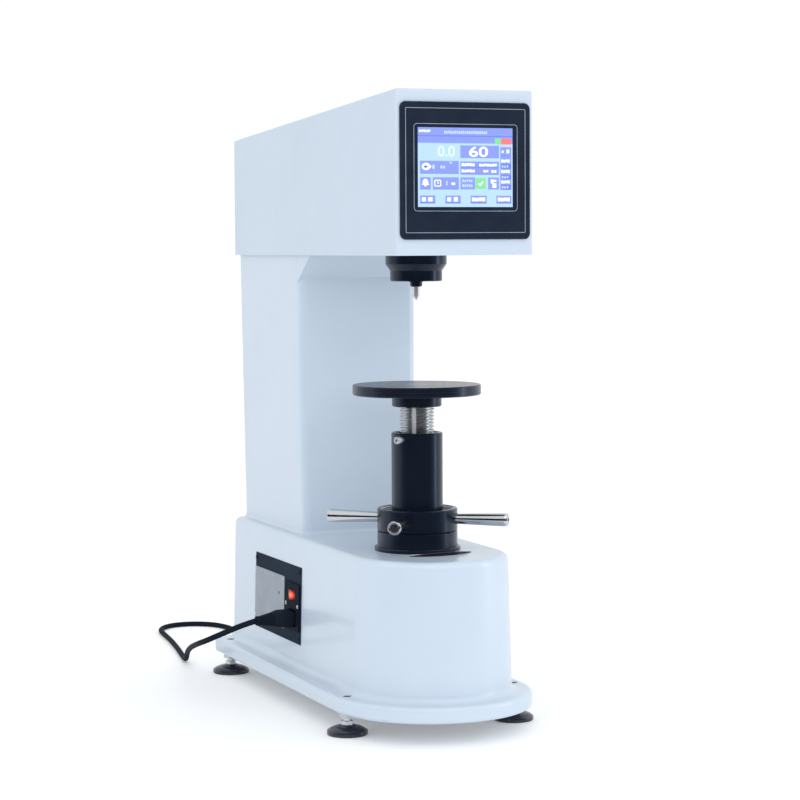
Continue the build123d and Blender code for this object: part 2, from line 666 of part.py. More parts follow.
with BuildPart() as power_supply:
    with Locations((18, ya + 290, z_fl0 + 26)):
        Box(96, 160, 48)
power_supply.part.label = "power_supply"
export_step(power_supply.part, "parts/power_supply.step")

mod_u, mod_v = -(mod_y - side_y), mod_z - side_z
with BuildPart() as side_panel:
    with BuildSketch(side_plane.offset(-2.2)):
        Rectangle(171.2, 94.6)
        with Locations((mod_u, mod_v)):
            Rectangle(46, 56, mode=Mode.SUBTRACT)
    extrude(amount=3.0)
side_panel.part.label = "side_panel"
export_step(side_panel.part, "parts/side_panel.step")

with BuildPart() as rating_plate:
    with BuildSketch(side_plane.offset(0.8)):
        with Locations((-(ya + 260.0 - side_y), 117.3 - side_z)):
            RectangleRounded(111, 65, 1.5)
    extrude(amount=0.8)
rating_plate.part.label = "rating_plate"
export_step(rating_plate.part, "parts/rating_plate.step")

with BuildPart() as panel_screws:
    with BuildSketch(side_plane.offset(0.8)):
        with Locations((-80, 41.5), (80, 41.5), (-80, -41.5), (80, -41.5)):
            Circle(2.8)
    extrude(amount=1.4)
panel_screws.part.label = "panel_screws"
export_step(panel_screws.part, "parts/panel_screws.step")

rock_z, inlet_z = 131.5, 103.0
with BuildPart() as inlet_module:
    with BuildSketch(side_plane.offset(0.8)):
        with Locations((mod_u, mod_v)):
            RectangleRounded(48, 58, 2)
    extrude(amount=2.2)
    with BuildSketch(side_plane.offset(0.8)):
        with Locations((mod_u, mod_v)):
            Rectangle(45, 55)
    extrude(amount=-26)
    # socket cavity and rocker pocket
    with BuildSketch(side_plane.offset(3.0)):
        with Locations((mod_u, inlet_z - side_z)):
            RectangleRounded(28.2, 20.6, 2.5)
    extrude(amount=-18.5, mode=Mode.SUBTRACT)
    with BuildSketch(side_plane.offset(3.0)):
        with Locations((mod_u, rock_z - side_z)):
            Rectangle(22.4, 14.0)
    extrude(amount=-10, mode=Mode.SUBTRACT)
    # contact blades
    with BuildSketch(side_plane.offset(-15.5)):
        with Locations((mod_u - 7, inlet_z - side_z - 2), (mod_u + 7, inlet_z - side_z - 2), (mod_u, inlet_z - side_z + 2)):
            Rectangle(2, 4)
    extrude(amount=12)
inlet_module.part.label = "inlet_module"
export_step(inlet_module.part, "parts/inlet_module.step")

# rocker: pivots on an upright axis, drawn pressed at its front half
rock_tilt = 8.0
rock_origin = side_plane.from_local_coords((mod_u, rock_z - side_z, -2.5))
with BuildPart() as power_rocker:
    base_x = side_plane.x_dir.rotate(Axis((0, 0, 0), side_plane.y_dir), rock_tilt)
    rp = Plane(origin=rock_origin, x_dir=base_x, z_dir=side_plane.y_dir * -1)
    with BuildSketch(rp.offset(-6.2)):
        with BuildLine():
            Polyline((-9.8, -2.6), (9.8, -2.6), (9.8, 5.6), (0, 7.2), (-9.8, 5.6), close=True)
        make_face()
    extrude(amount=12.4)
power_rocker.part.label = "power_rocker"
export_step(power_rocker.part, "parts/power_rocker.step")

# ------------------------------------------------------------------ levelling feet
for name, sx, fy in (("front_left", -1, foot_yf), ("front_right", 1, foot_yf),
                     ("rear_left", -1, foot_yb), ("rear_right", 1, foot_yb)):
    fx = sx * foot_x
    with BuildPart() as foot_stud:
        with BuildSketch(Plane.XY.offset(9.5)):
            with Locations((fx, fy)):
                Circle(4.98)
        extrude(amount=38.5 - 9.5)
        with BuildSketch(Plane.XY.offset(38.5)):
            with Locations((fx, fy)):
                RegularPolygon(2.6, 6)
        extrude(amount=-4, mode=Mode.SUBTRACT)
        with BuildSketch(Plane.XY.offset(11.5)):
            with Locations((fx, fy)):
                RegularPolygon(7.5, 6)
        extrude(amount=4.5)
    foot_stud.part.label = "foot_stud_" + name
    export_step(foot_stud.part, "parts/foot_stud_" + name + ".step")
    with BuildPart() as foot_pad:
        with BuildSketch(Plane(origin=(fx, fy, 0), x_dir=(1, 0, 0), z_dir=(0, -1, 0))):
            with BuildLine():
                Polyline((0, 0), (pad_r - 1.0, 0), (pad_r, 1.2), (pad_r, 4.0), (pad_r - 2.6, 6.2), (13.0, 9.3),
                         (10.0, 11.4), (5.6, 11.4), (5.6, 9.4), (0, 9.4), close=True)
            make_face()
        revolve(axis=Axis((fx, fy, 0), (0, 0, 1)))
    foot_pad.part.label = "foot_pad_" + name
    export_step(foot_pad.part, "parts/foot_pad_" + name + ".step")

with BuildPart() as foot_locknuts:
    with BuildSketch(Plane.XY.offset(19.6)):
        with Locations(*[(sx * foot_x, fy) for sx in (-1, 1) for fy in (foot_yf, foot_yb)]):
            RegularPolygon(9.8, 6)
            Circle(5.05, mode=Mode.SUBTRACT)
    extrude(amount=z_fl0 - 19.6)
foot_locknuts.part.label = "foot_locknuts"
export_step(foot_locknuts.part, "parts/foot_locknuts.step")

# ------------------------------------------------------------------ mains lead
con_z = inlet_z
con_y = mod_y
con_out = side_plane.offset(3.0)
with BuildPart() as cord_connector:
    x_in = -79.5
    # nose that enters the socket
    with Locations(((x_in - 96.4) / 2, con_y, con_z)):
        Box(x_in + 96.4, 23.0, 15.4)
    # moulded body and tapering, ribbed relief
    with BuildSketch(Plane(origin=(-97.4, con_y, con_z), x_dir=(0, -1, 0), z_dir=(-1, 0, 0))):
        RectangleRounded(27, 19.5, 4)
    extrude(amount=23)
    with BuildSketch(Plane(origin=(-96.0, con_y, con_z), x_dir=(0, -1, 0), z_dir=(-1, 0, 0))):
        RectangleRounded(23, 15.4, 2)
    extrude(amount=2)
    with BuildSketch(Plane(origin=(-120.4, con_y, con_z), x_dir=(0, -1, 0), z_dir=(-1, 0, 0))):
        RectangleRounded(22, 17, 4)
    with BuildSketch(Plane(origin=(-138.5, con_y, con_z - 0.8), x_dir=(0, -1, 0), z_dir=(-1, 0, 0))):
        RectangleRounded(11.5, 10.5, 4)
    loft()
    with Locations(Location((-140.75, con_y, con_z - 0.9), (0, 90, 0))):
        Cylinder(6.0, 4.5)
    with Locations((x_in, con_y - 7, con_z - 2), (x_in, con_y + 7, con_z - 2), (x_in, con_y, con_z + 2)):
        Box(30, 3.2, 5.2, mode=Mode.SUBTRACT)
cord_connector.part.label = "cord_connector"
export_step(cord_connector.part, "parts/cord_connector.step")

# route of the lead from the relief to the coil; y is measured from the screw axis
route = [(-143.0, 172.0, 102.1), (-161.0, 172.4, 97.6), (-177.6, 179.4, 90.0), (-189.5, 192.5, 82.2), (-194.8, 210.0, 75.4),
         (-194.5, 236.0, 68.6), (-188.5, 274.0, 60.0), (-179.0, 320.0, 49.8), (-167.0, 366.0, 40.0), (-155.5, 410.0, 30.5),
         (-147.5, 444.0, 20.5), (-141.0, 470.0, 6.9), (-136.5, 494.0, 3.6), (-129.0, 534.0, 3.6), (-118.5, 594.0, 3.6), (-110.0, 652.0, 3.6),
         (-105.0, 700.0, 3.6), (-99.5, 738.0, 3.6), (-78.0, 766.0, 3.6), (-45.0, 771.5, 3.6), (-16.0, 754.0, 3.6),
         (-2.5, 721.0, 3.6), (-0.5, 680.0, 3.6), (-3.8, 634.0, 3.6), (-2.2, 588.0, 3.6), (-2.7, 552.0, 3.6)]
tail = [(82.6, 549.0, 10.6), (82.6, 576.0, 10.9), (83.4, 598.0, 14.6), (84.4, 619.0, 18.9)]
coil_c = (40.0, 544.5)
coil_r_in, coil_r_out, coil_h = 31.9, 46.1, 14.2


def fillet_radii(p):
    out = []
    for i in range(1, len(p) - 1):
        a = Vector(*p[i]) - Vector(*p[i - 1])
        b = Vector(*p[i + 1]) - Vector(*p[i])
        out.append(0.45 * min(a.length, b.length) / math.tan(math.radians(a.get_angle(b)) / 2))
    return out


tubes = []
for p in (route, tail):
    pp = [(x, ya + y, z) for x, y, z in p]
    radii = fillet_radii(pp)
    print("arc radii:", [round(r, 1) for r in radii])
    with BuildPart() as tube:
        with BuildLine() as path:
            FilletPolyline(*pp, radius=radii)
        d0 = Vector(*pp[1]) - Vector(*pp[0])
        with BuildSketch(Plane(origin=pp[0], z_dir=d0.normalized())):
            Circle(cord_d / 2)
        sweep()
    length = path.line.length if hasattr(path.line, "length") else sum(e.length for e in path.edges())
    print("tube length", round(length, 1), "volume", round(tube.part.volume, 1),
          "section x length", round(math.pi * cord_d ** 2 / 4 * length, 1))
    tubes.append(tube.part)
power_cord = Compound(label="power_cord", children=[t.solid() for t in tubes])
export_step(power_cord, "parts/power_cord.step")

with BuildPart() as cord_coil:
    with BuildSketch(Plane(origin=(coil_c[0], ya + coil_c[1], 0), x_dir=(1, 0, 0), z_dir=(0, -1, 0))):
        with Locations(((coil_r_in + coil_r_out) / 2, coil_h / 2)):
            RectangleRounded(coil_r_out - coil_r_in, coil_h, 3.4)
    revolve(axis=Axis((coil_c[0], ya + coil_c[1], 0), (0, 0, 1)))
cord_coil.part.label = "cord_coil"
export_step(cord_coil.part, "parts/cord_coil.step")

plug_x, plug_y, plug_z = 84.4, ya + 619.0, 18.9
with BuildPart() as mains_plug:
    with BuildSketch(Plane(origin=(plug_x, plug_y, plug_z), x_dir=(0, 1, 0), z_dir=(1, 0, 0))):
        with BuildLine():
            Polyline((0, 0), (0, 5.5), (22, 7.5), (26, 13.0), (36, 17.8), (58, 18.6), (60, 17.6), (60, 0), close=True)
        make_face()
    revolve(axis=Axis((plug_x, plug_y, plug_z), (0, 1, 0)))
    with Locations(Location((plug_x - 9.5, plug_y + 60, plug_z), (-90, 0, 0)),
                   Location((plug_x + 9.5, plug_y + 60, plug_z), (-90, 0, 0))):
        Cylinder(2.4, 19, align=(Align.CENTER, Align.CENTER, Align.MIN))
mains_plug.part.label = "mains_plug"
export_step(mains_plug.part, "parts/mains_plug.step")
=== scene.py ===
import bpy, bmesh, math
from mathutils import Vector, Matrix


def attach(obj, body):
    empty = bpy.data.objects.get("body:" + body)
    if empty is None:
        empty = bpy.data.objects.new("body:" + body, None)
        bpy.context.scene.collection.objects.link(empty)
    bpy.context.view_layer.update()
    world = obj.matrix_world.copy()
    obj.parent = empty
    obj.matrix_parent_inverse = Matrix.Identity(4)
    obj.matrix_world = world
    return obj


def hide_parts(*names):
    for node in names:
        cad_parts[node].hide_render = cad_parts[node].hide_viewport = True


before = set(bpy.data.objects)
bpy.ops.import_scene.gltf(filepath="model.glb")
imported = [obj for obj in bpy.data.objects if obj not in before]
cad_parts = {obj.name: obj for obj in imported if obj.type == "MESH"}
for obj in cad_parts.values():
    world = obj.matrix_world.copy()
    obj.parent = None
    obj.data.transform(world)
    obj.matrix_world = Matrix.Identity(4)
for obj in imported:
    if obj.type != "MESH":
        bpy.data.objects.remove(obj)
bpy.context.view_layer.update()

YA = -0.135                      # spindle and elevating-screw axis
MM = 0.001
D = bpy.data
scene = bpy.context.scene


# ------------------------------------------------------------------ helpers
def new_obj(name, verts, faces, body="frame", smooth=None, mat=None, slot=None):
    me = D.meshes.new(name)
    me.from_pydata([tuple(v) for v in verts], [], faces)
    me.validate()
    bm = bmesh.new()
    bm.from_mesh(me)
    bmesh.ops.remove_doubles(bm, verts=bm.verts, dist=1e-7)
    bmesh.ops.recalc_face_normals(bm, faces=bm.faces)
    bm.to_mesh(me)
    bm.free()
    ob = D.objects.new(name, me)
    scene.collection.objects.link(ob)
    if smooth is not None:
        me.polygons.foreach_set("use_smooth", [True] * len(me.polygons))
        me.set_sharp_from_angle(angle=math.radians(smooth))
    if mat is not None:
        me.materials.append(mat)
    if body:
        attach(ob, body)
    return ob


def lathe(name, profile, centre=(0, YA, 0), axis="Z", segs=128, closed=True, **kw):
    """profile: (radius, height) in metres, closed loop; turned about an axis through centre."""
    n = len(profile)
    verts, faces = [], []
    cx, cy, cz = centre
    for i in range(segs):
        a = 2 * math.pi * i / segs
        ca, sa = math.cos(a), math.sin(a)
        for r, h in profile:
            if axis == "Z":
                verts.append((cx + r * ca, cy + r * sa, cz + h))
            elif axis == "Y":
                verts.append((cx + r * ca, cy + h, cz + r * sa))
            else:
                verts.append((cx + h, cy + r * ca, cz + r * sa))
    last = n if closed else n - 1
    for i in range(segs):
        j = (i + 1) % segs
        for k in range(last):
            m = (k + 1) % n
            faces.append((i * n + k, j * n + k, j * n + m, i * n + m))
    return new_obj(name, verts, faces, **kw)


def rounded_loop(w, h, r, seg=6):
    """corner points of a rounded rectangle centred at 0, counter-clockwise."""
    pts = []
    for cx, cy, a0 in ((w / 2 - r, h / 2 - r, 0), (-w / 2 + r, h / 2 - r, 90),
                       (-w / 2 + r, -h / 2 + r, 180), (w / 2 - r, -h / 2 + r, 270)):
        for i in range(seg + 1):
            a = math.radians(a0 + 90 * i / seg)
            pts.append((cx + r * math.cos(a), cy + r * math.sin(a)))
    return pts


class Face:
    """A flat working face: o is its origin, u to the right, v up, n outward."""

    def __init__(self, o, u, v, n):
        self.o, self.u, self.v, self.n = Vector(o), Vector(u), Vector(v), Vector(n)

    def at(self, a, b, h=0.0):
        return self.o + self.u * a + self.v * b + self.n * h


def slab(verts, faces, face, loop, h0, h1):
    """adds a prism over the loop between heights h0 and h1."""
    base = len(verts)
    n = len(loop)
    for a, b in loop:
        verts.append(face.at(a, b, h0))
    for a, b in loop:
        verts.append(face.at(a, b, h1))
    faces.append(tuple(base + i for i in reversed(range(n))))
    faces.append(tuple(base + n + i for i in range(n)))
    for i in range(n):
        j = (i + 1) % n
        faces.append((base + i, base + j, base + n + j, base + n + i))


def ring_slab(verts, faces, face, outer, inner, h0, h1):
    base = len(verts)
    n = len(outer)
    for loop, h in ((outer, h0), (outer, h1), (inner, h1), (inner, h0)):
        for a, b in loop:
            verts.append(face.at(a, b, h))
    for k in range(4):
        m = (k + 1) % 4
        for i in range(n):
            j = (i + 1) % n
            faces.append((base + k * n + i, base + k * n + j, base + m * n + j, base + m * n + i))


def rect(x0, y0, x1, y1):
    return [(x0, y0), (x1, y0), (x1, y1), (x0, y1)]


def shift(loop, dx, dy):
    return [(a + dx, b + dy) for a, b in loop]


# ------------------------------------------------------------------ materials
def mat_new(name):
    m = D.materials.new(name)
    m.use_nodes = True
    nt = m.node_tree
    nt.nodes.clear()
    out = nt.nodes.new("ShaderNodeOutputMaterial")
    bsdf = nt.nodes.new("ShaderNodeBsdfPrincipled")
    nt.links.new(bsdf.outputs[0], out.inputs[0])
    return m, nt, bsdf


def coords(nt, scale=(1, 1, 1)):
    tc = nt.nodes.new("ShaderNodeTexCoord")
    mp = nt.nodes.new("ShaderNodeMapping")
    mp.inputs["Scale"].default_value = scale
    nt.links.new(tc.outputs["Object"], mp.inputs[0])
    return mp.outputs[0]


def noise(nt, vec, scale, detail=2.0, rough=0.5):
    n = nt.nodes.new("ShaderNodeTexNoise")
    n.inputs["Scale"].default_value = scale
    n.inputs["Detail"].default_value = detail
    n.inputs["Roughness"].default_value = rough
    nt.links.new(vec, n.inputs["Vector"])
    return n.outputs["Fac"]


def ramp(nt, fac, lo, hi, c0, c1):
    r = nt.nodes.new("ShaderNodeMapRange")
    r.inputs["From Min"].default_value = lo
    r.inputs["From Max"].default_value = hi
    r.inputs["To Min"].default_value = c0
    r.inputs["To Max"].default_value = c1
    nt.links.new(fac, r.inputs["Value"])
    return r.outputs[0]


def mix_col(nt, fac, a, b):
    m = nt.nodes.new("ShaderNodeMix")
    m.data_type = "RGBA"
    m.inputs["A"].default_value = (*a, 1)
    m.inputs["B"].default_value = (*b, 1)
    nt.links.new(fac, m.inputs["Factor"])
    return m.outputs["Result"]


def bump(nt, bsdf, height, strength, dist):
    b = nt.nodes.new("ShaderNodeBump")
    b.inputs["Strength"].default_value = strength
    b.inputs["Distance"].default_value = dist
    nt.links.new(height, b.inputs["Height"])
    nt.links.new(b.outputs[0], bsdf.inputs["Normal"])
    return b


def paint(name, col_a, col_b, rough, coat, peel=900, peel_s=0.12, spec=0.5):
    """enamel or powder coat: faint tone drift, orange peel, clear top coat."""
    m, nt, b = mat_new(name)
    v = coords(nt)
    tone = noise(nt, v, 6.0, 3.0, 0.6)
    nt.links.new(mix_col(nt, ramp(nt, tone, 0.35, 0.65, 0, 1), col_a, col_b), b.inputs["Base Color"])
    haze = noise(nt, v, 38.0, 4.0, 0.65)
    nt.links.new(ramp(nt, haze, 0.3, 0.7, rough - 0.03, rough + 0.05), b.inputs["Roughness"])
    b.inputs["Coat Weight"].default_value = coat
    b.inputs["Coat Roughness"].default_value = 0.12
    b.inputs["Specular IOR Level"].default_value = spec
    bump(nt, b, noise(nt, v, peel, 2.0, 0.5), peel_s, 0.0001)
    return m


def turned(name, col_a, col_b, metallic, rough, band=2400, coat=0.0, bump_s=0.15, around="Z", spec=0.5, amp=1.0, tint=None):
    """lathe-turned or ground metal: fine rings across the axis, slight tone drift."""
    m, nt, b = mat_new(name)
    s = {"Z": (2, 2, band), "R": (1, 1, 1)}[around]
    v = coords(nt, s) if around == "Z" else coords(nt)
    ring = noise(nt, v, 1.0, 3.0, 0.6)
    v2 = coords(nt)
    tone = noise(nt, v2, 22.0, 3.0, 0.6)
    nt.links.new(mix_col(nt, ramp(nt, tone, 0.3, 0.7, 0, 1), col_a, col_b), b.inputs["Base Color"])
    nt.links.new(ramp(nt, ring, 0.3, 0.7, rough - 0.05 * amp, rough + 0.08 * amp), b.inputs["Roughness"])
    b.inputs["Metallic"].default_value = metallic
    b.inputs["Coat Weight"].default_value = coat
    b.inputs["Specular IOR Level"].default_value = spec
    if tint:
        b.inputs["Specular Tint"].default_value = (*tint, 1)
    bump(nt, b, ring, bump_s, 0.00004)
    return m


def plastic(name, col_a, col_b, rough, grain=1600, grain_s=0.2, coat=0.0, spec=0.5):
    m, nt, b = mat_new(name)
    v = coords(nt)
    nt.links.new(mix_col(nt, ramp(nt, noise(nt, v, 45.0, 3.0), 0.3, 0.7, 0, 1), col_a, col_b), b.inputs["Base Color"])
    nt.links.new(ramp(nt, noise(nt, v, 160.0, 3.0), 0.3, 0.7, rough - 0.04, rough + 0.05), b.inputs["Roughness"])
    b.inputs["Coat Weight"].default_value = coat
    b.inputs["Coat Roughness"].default_value = 0.05
    b.inputs["Specular IOR Level"].default_value = spec
    bump(nt, b, noise(nt, v, grain, 2.0), grain_s, 0.00006)
    return m


def glow(name, col, strength, base=None, var=0.06):
    """a lit patch of the display or lamp; its brightness drifts a little."""
    m, nt, b = mat_new(name)
    v = coords(nt)
    c2 = tuple(c * (1 - var) for c in col)
    res = mix_col(nt, ramp(nt, noise(nt, v, 60.0, 2.0), 0.3, 0.7, 0, 1), col, c2)
    b.inputs["Base Color"].default_value = (*(base or tuple(c * 0.4 for c in col)), 1)
    nt.links.new(res, b.inputs["Emission Color"])
    b.inputs["Emission Strength"].default_value = strength
    b.inputs["Roughness"].default_value = 0.3
    b.inputs["Coat Weight"].default_value = 0.5
    b.inputs["Coat Roughness"].default_value = 0.08
    return m


M_CAST = paint("casting_enamel", (0.522, 0.606, 0.702), (0.540, 0.624, 0.720), 0.34, 0.30, 420, 0.03)
M_COVER = paint("cover_powder_coat", (0.512, 0.596, 0.696), (0.530, 0.614, 0.714), 0.42, 0.10, 1500, 0.06)
M_BLACK_OX = turned("black_oxide_steel", (0.0040, 0.0065, 0.0130), (0.0065, 0.0095, 0.0180), 0.0, 0.22, 500, bump_s=0.008, spec=0.36, amp=0.25, tint=(0.50, 0.68, 1.0))
M_ANVIL = turned("anvil_black_ground", (0.0045, 0.0070, 0.0140), (0.0080, 0.0110, 0.0190), 0.0, 0.25, 700, bump_s=0.012, spec=0.40, amp=0.4, tint=(0.60, 0.68, 1.0))
M_CHROME = turned("polished_chrome", (0.52, 0.535, 0.56), (0.60, 0.615, 0.64), 1.0, 0.15, 1800, bump_s=0.04, amp=0.4)
M_SCREW = turned("ground_screw_steel", (0.50, 0.515, 0.54), (0.60, 0.615, 0.64), 1.0, 0.30, 900, bump_s=0.008, amp=0.4)
M_MILLED = turned("milled_keyway_steel", (0.62, 0.64, 0.67), (0.72, 0.74, 0.77), 0.35, 0.50, 900, bump_s=0.05)
M_SATIN = turned("satin_steel", (0.66, 0.68, 0.71), (0.76, 0.78, 0.81), 0.75, 0.36, 700, bump_s=0.01, amp=0.4)
M_STEEL = turned("ground_steel", (0.50, 0.51, 0.53), (0.62, 0.63, 0.64), 1.0, 0.30, 2600, bump_s=0.15)
M_BRONZE = turned("turned_bronze", (0.50, 0.31, 0.13), (0.62, 0.42, 0.20), 1.0, 0.32, 2200)
M_IRON = turned("machined_iron", (0.10, 0.10, 0.11), (0.16, 0.16, 0.17), 0.8, 0.5, 1600)
M_BEZEL = plastic("bezel_gloss_black", (0.0120, 0.0185, 0.0350), (0.0150, 0.0225, 0.0400), 0.20, 1800, 0.02, spec=0.22)
M_BLACK = plastic("moulded_black", (0.0065, 0.0110, 0.0200), (0.0090, 0.0140, 0.0245), 0.55, 1500, 0.12, spec=0.02)
M_PANEL = plastic("panel_black", (0.0130, 0.0230, 0.0400), (0.0160, 0.0270, 0.0460), 0.55, 1700, 0.10, spec=0.02)
M_CORD = plastic("cord_pvc", (0.0080, 0.0120, 0.0200), (0.0120, 0.0165, 0.0260), 0.62, 900, 0.10, spec=0.03)
M_PAD = plastic("foot_pad_black", (0.0105, 0.0115, 0.0230), (0.0145, 0.0155, 0.0300), 0.24, 700, 0.012, spec=0.55)
M_RUBBER = plastic("sole_rubber", (0.010, 0.010, 0.011), (0.018, 0.018, 0.019), 0.75, 700, 0.5)
M_ALU = turned("satin_aluminium", (0.55, 0.58, 0.61), (0.63, 0.66, 0.69), 0.85, 0.42, 900, bump_s=0.1)
M_PLATE = turned("plate_satin", (0.27, 0.31, 0.36), (0.32, 0.36, 0.41), 0.45, 0.5, 1400, bump_s=0.08)
M_PCB = plastic("solder_mask", (0.02, 0.12, 0.05), (0.03, 0.17, 0.08), 0.4, 900, 0.3)
M_FELT = plastic("pressed_felt", (0.12, 0.11, 0.10), (0.18, 0.17, 0.15), 0.95, 500, 1.0)
M_LINE = plastic("bezel_line_silver", (0.24, 0.28, 0.33), (0.32, 0.36, 0.41), 0.35, 900, 0.1)
M_LCDRIM = plastic("lcd_rim_silver", (0.26, 0.30, 0.36), (0.34, 0.38, 0.44), 0.35, 900, 0.1)
M_SEAL = plastic("collar_seal", (0.22, 0.07, 0.09), (0.30, 0.10, 0.12), 0.5, 900, 0.2)
M_DARKSCREW = turned("dark_fastener", (0.05, 0.052, 0.058), (0.09, 0.092, 0.10), 0.9, 0.35, 2000)


def lens():
    """translucent red moulding with a neon lamp behind its middle: bright core, dark edges."""
    m, nt, b = mat_new("rocker_red")
    tc = nt.nodes.new("ShaderNodeTexCoord")
    size = nt.nodes.new("ShaderNodeVectorMath")
    size.operation = "MULTIPLY"
    size.inputs[1].default_value = (0.0, 1.0, 1.0)
    nt.links.new(tc.outputs["Generated"], size.inputs[0])
    dist = nt.nodes.new("ShaderNodeVectorMath")
    dist.operation = "DISTANCE"
    dist.inputs[1].default_value = (0.0, 0.5, 0.5)
    nt.links.new(size.outputs[0], dist.inputs[0])
    near = ramp(nt, dist.outputs["Value"], 0.06, 0.56, 1.0, 0.0)
    fall = nt.nodes.new("ShaderNodeMath")
    fall.operation = "POWER"
    nt.links.new(near, fall.inputs[0])
    fall.inputs[1].default_value = 1.35
    f = fall.outputs[0]
    grain = noise(nt, coords(nt), 700.0, 2.0)
    mul = nt.nodes.new("ShaderNodeMath")
    mul.operation = "MULTIPLY"
    nt.links.new(f, mul.inputs[0])
    nt.links.new(ramp(nt, grain, 0.3, 0.7, 0.9, 1.1), mul.inputs[1])
    nt.links.new(mix_col(nt, mul.outputs[0], (0.55, 0.010, 0.006), (1.0, 0.17, 0.09)), b.inputs["Emission Color"])
    nt.links.new(ramp(nt, mul.outputs[0], 0.0, 1.0, 0.02, 2.1), b.inputs["Emission Strength"])
    nt.links.new(mix_col(nt, grain, (0.030, 0.002, 0.004), (0.045, 0.003, 0.005)), b.inputs["Base Color"])
    b.inputs["Roughness"].default_value = 0.3
    b.inputs["Specular IOR Level"].default_value = 0.08
    return m


M_LENS = lens()
M_BRASSPIN = turned("nickel_contact", (0.62, 0.60, 0.54), (0.74, 0.71, 0.64), 1.0, 0.22, 1500)


def give(node, mat):
    ob = D.objects.get(node)
    if ob is None:
        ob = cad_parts[node]
        ob = ob if isinstance(ob, bpy.types.Object) else D.objects[ob]
    for i in range(max(1, len(ob.material_slots))):
        if len(ob.material_slots) == 0:
            ob.data.materials.append(mat)
        ob.material_slots[i].material = mat


for node, mat in {
    "frame_casting": M_CAST, "head_cover": M_COVER, "rear_door": M_COVER, "front_bezel": M_BEZEL,
    "hmi_housing": M_BLACK, "control_board": M_PCB, "nose_ring": M_BLACK_OX, "spindle_bushes": M_BRONZE,
    "preload_spring": M_STEEL, "fulcrum_bracket": M_IRON, "fulcrum_pin": M_STEEL, "drive_motor": M_BLACK,
    "linear_encoder": M_BLACK, "guide_bush": M_BRONZE, "guide_key": M_STEEL, "support_collar": M_BLACK_OX,
    "thrust_race_lower": M_STEEL, "thrust_balls": M_CHROME, "door_screws": M_DARKSCREW,
    "cover_screws": M_DARKSCREW, "bottom_plate": M_ALU, "power_supply": M_ALU, "side_panel": M_PANEL,
    "rating_plate": M_PLATE, "panel_screws": M_PANEL, "inlet_module": M_BLACK, "foot_locknuts": M_STEEL,
    "handwheel_hub": M_BLACK_OX, "handle_bars": M_CHROME, "elevating_nut": M_BRONZE, "dust_sleeve": M_BLACK_OX,
    "sleeve_screw": M_SATIN, "wiper_ring": M_FELT, "thrust_race_upper": M_STEEL, "anvil": M_ANVIL,
    "spindle": M_STEEL, "indenter_nut": M_BLACK_OX, "indenter": M_SATIN, "load_lever": M_IRON,
    "knife_edges": M_STEEL, "hanger_rod": M_STEEL, "weight_large": M_IRON, "weight_medium": M_IRON,
    "weight_small": M_IRON, "load_cam": M_STEEL, "power_rocker": M_LENS, "display_screen": M_BEZEL,
}.items():
    give(node, mat)
for n in ("front_left", "front_right", "rear_left", "rear_right"):
    give("foot_pad_" + n, M_PAD)
    give("foot_stud_" + n, M_CHROME)

# ------------------------------------------------------------------ camera
PSI, PITCH, ROLL = math.radians(22.16), math.radians(3.77), math.radians(-0.32)
cd = D.cameras.new("camera_main")
cd.lens, cd.sensor_width = 105.61, 36.0
cd.clip_start, cd.clip_end = 0.1, 50
cam = D.objects.new("camera_main", cd)
scene.collection.objects.link(cam)
cam.matrix_world = (Matrix.Translation((-1.0494, -2.6597, 0.5584)) @ Matrix.Rotation(-PSI, 4, "Z")
                    @ Matrix.Rotation(math.radians(90) - PITCH, 4, "X") @ Matrix.Rotation(ROLL, 4, "Z"))
scene.camera = cam

# ------------------------------------------------------------------ mains lead
ROUTE = [(-143.0, 172.0, 102.1), (-161.0, 172.4, 97.6), (-177.6, 179.4, 90.0), (-189.5, 192.5, 82.2), (-194.8, 210.0, 75.4),
         (-194.5, 236.0, 68.6), (-188.5, 274.0, 60.0), (-179.0, 320.0, 49.8), (-167.0, 366.0, 40.0), (-155.5, 410.0, 30.5),
         (-147.5, 444.0, 20.5), (-141.0, 470.0, 6.9), (-136.5, 494.0, 3.6), (-129.0, 534.0, 3.6), (-118.5, 594.0, 3.6), (-110.0, 652.0, 3.6),
         (-105.0, 700.0, 3.6), (-99.5, 738.0, 3.6), (-78.0, 766.0, 3.6), (-45.0, 771.5, 3.6), (-16.0, 754.0, 3.6),
         (-2.5, 721.0, 3.6), (-0.5, 680.0, 3.6), (-3.8, 634.0, 3.6), (-2.2, 588.0, 3.6)]
TAIL = [(82.6, 576.0, 10.9), (83.4, 598.0, 14.6), (84.4, 619.0, 18.9)]
CORD_D = 7.0
COIL = (40.0, 544.5)


def coil_points():
    """the put-away turns: two wide, two high, wound anticlockwise from the left."""
    pts = []
    turns, per = 3.5, 14
    n = int(turns * per)
    for i in range(1, n):
        t = i / n * turns
        a = math.pi + 2 * math.pi * t
        k = min(int(t), 3)
        f = t - k
        # lower outer, lower inner, upper inner, upper outer; each change spread over part of a turn
        rr = [42.4, 35.6, 35.6, 42.4, 42.4]
        zz = [3.6, 3.6, 10.6, 10.6, 10.6]
        s = min(1.0, max(0.0, (f - 0.72) / 0.28))
        s = s * s * (3 - 2 * s)
        r = rr[k] * (1 - s) + rr[k + 1] * s
        z = zz[k] * (1 - s) + zz[k + 1] * s
        wob = 0.35 * math.sin(3.1 * a + k)
        pts.append((COIL[0] + (r + wob) * math.cos(a), COIL[1] + (r + wob) * math.sin(a), z))
    return pts


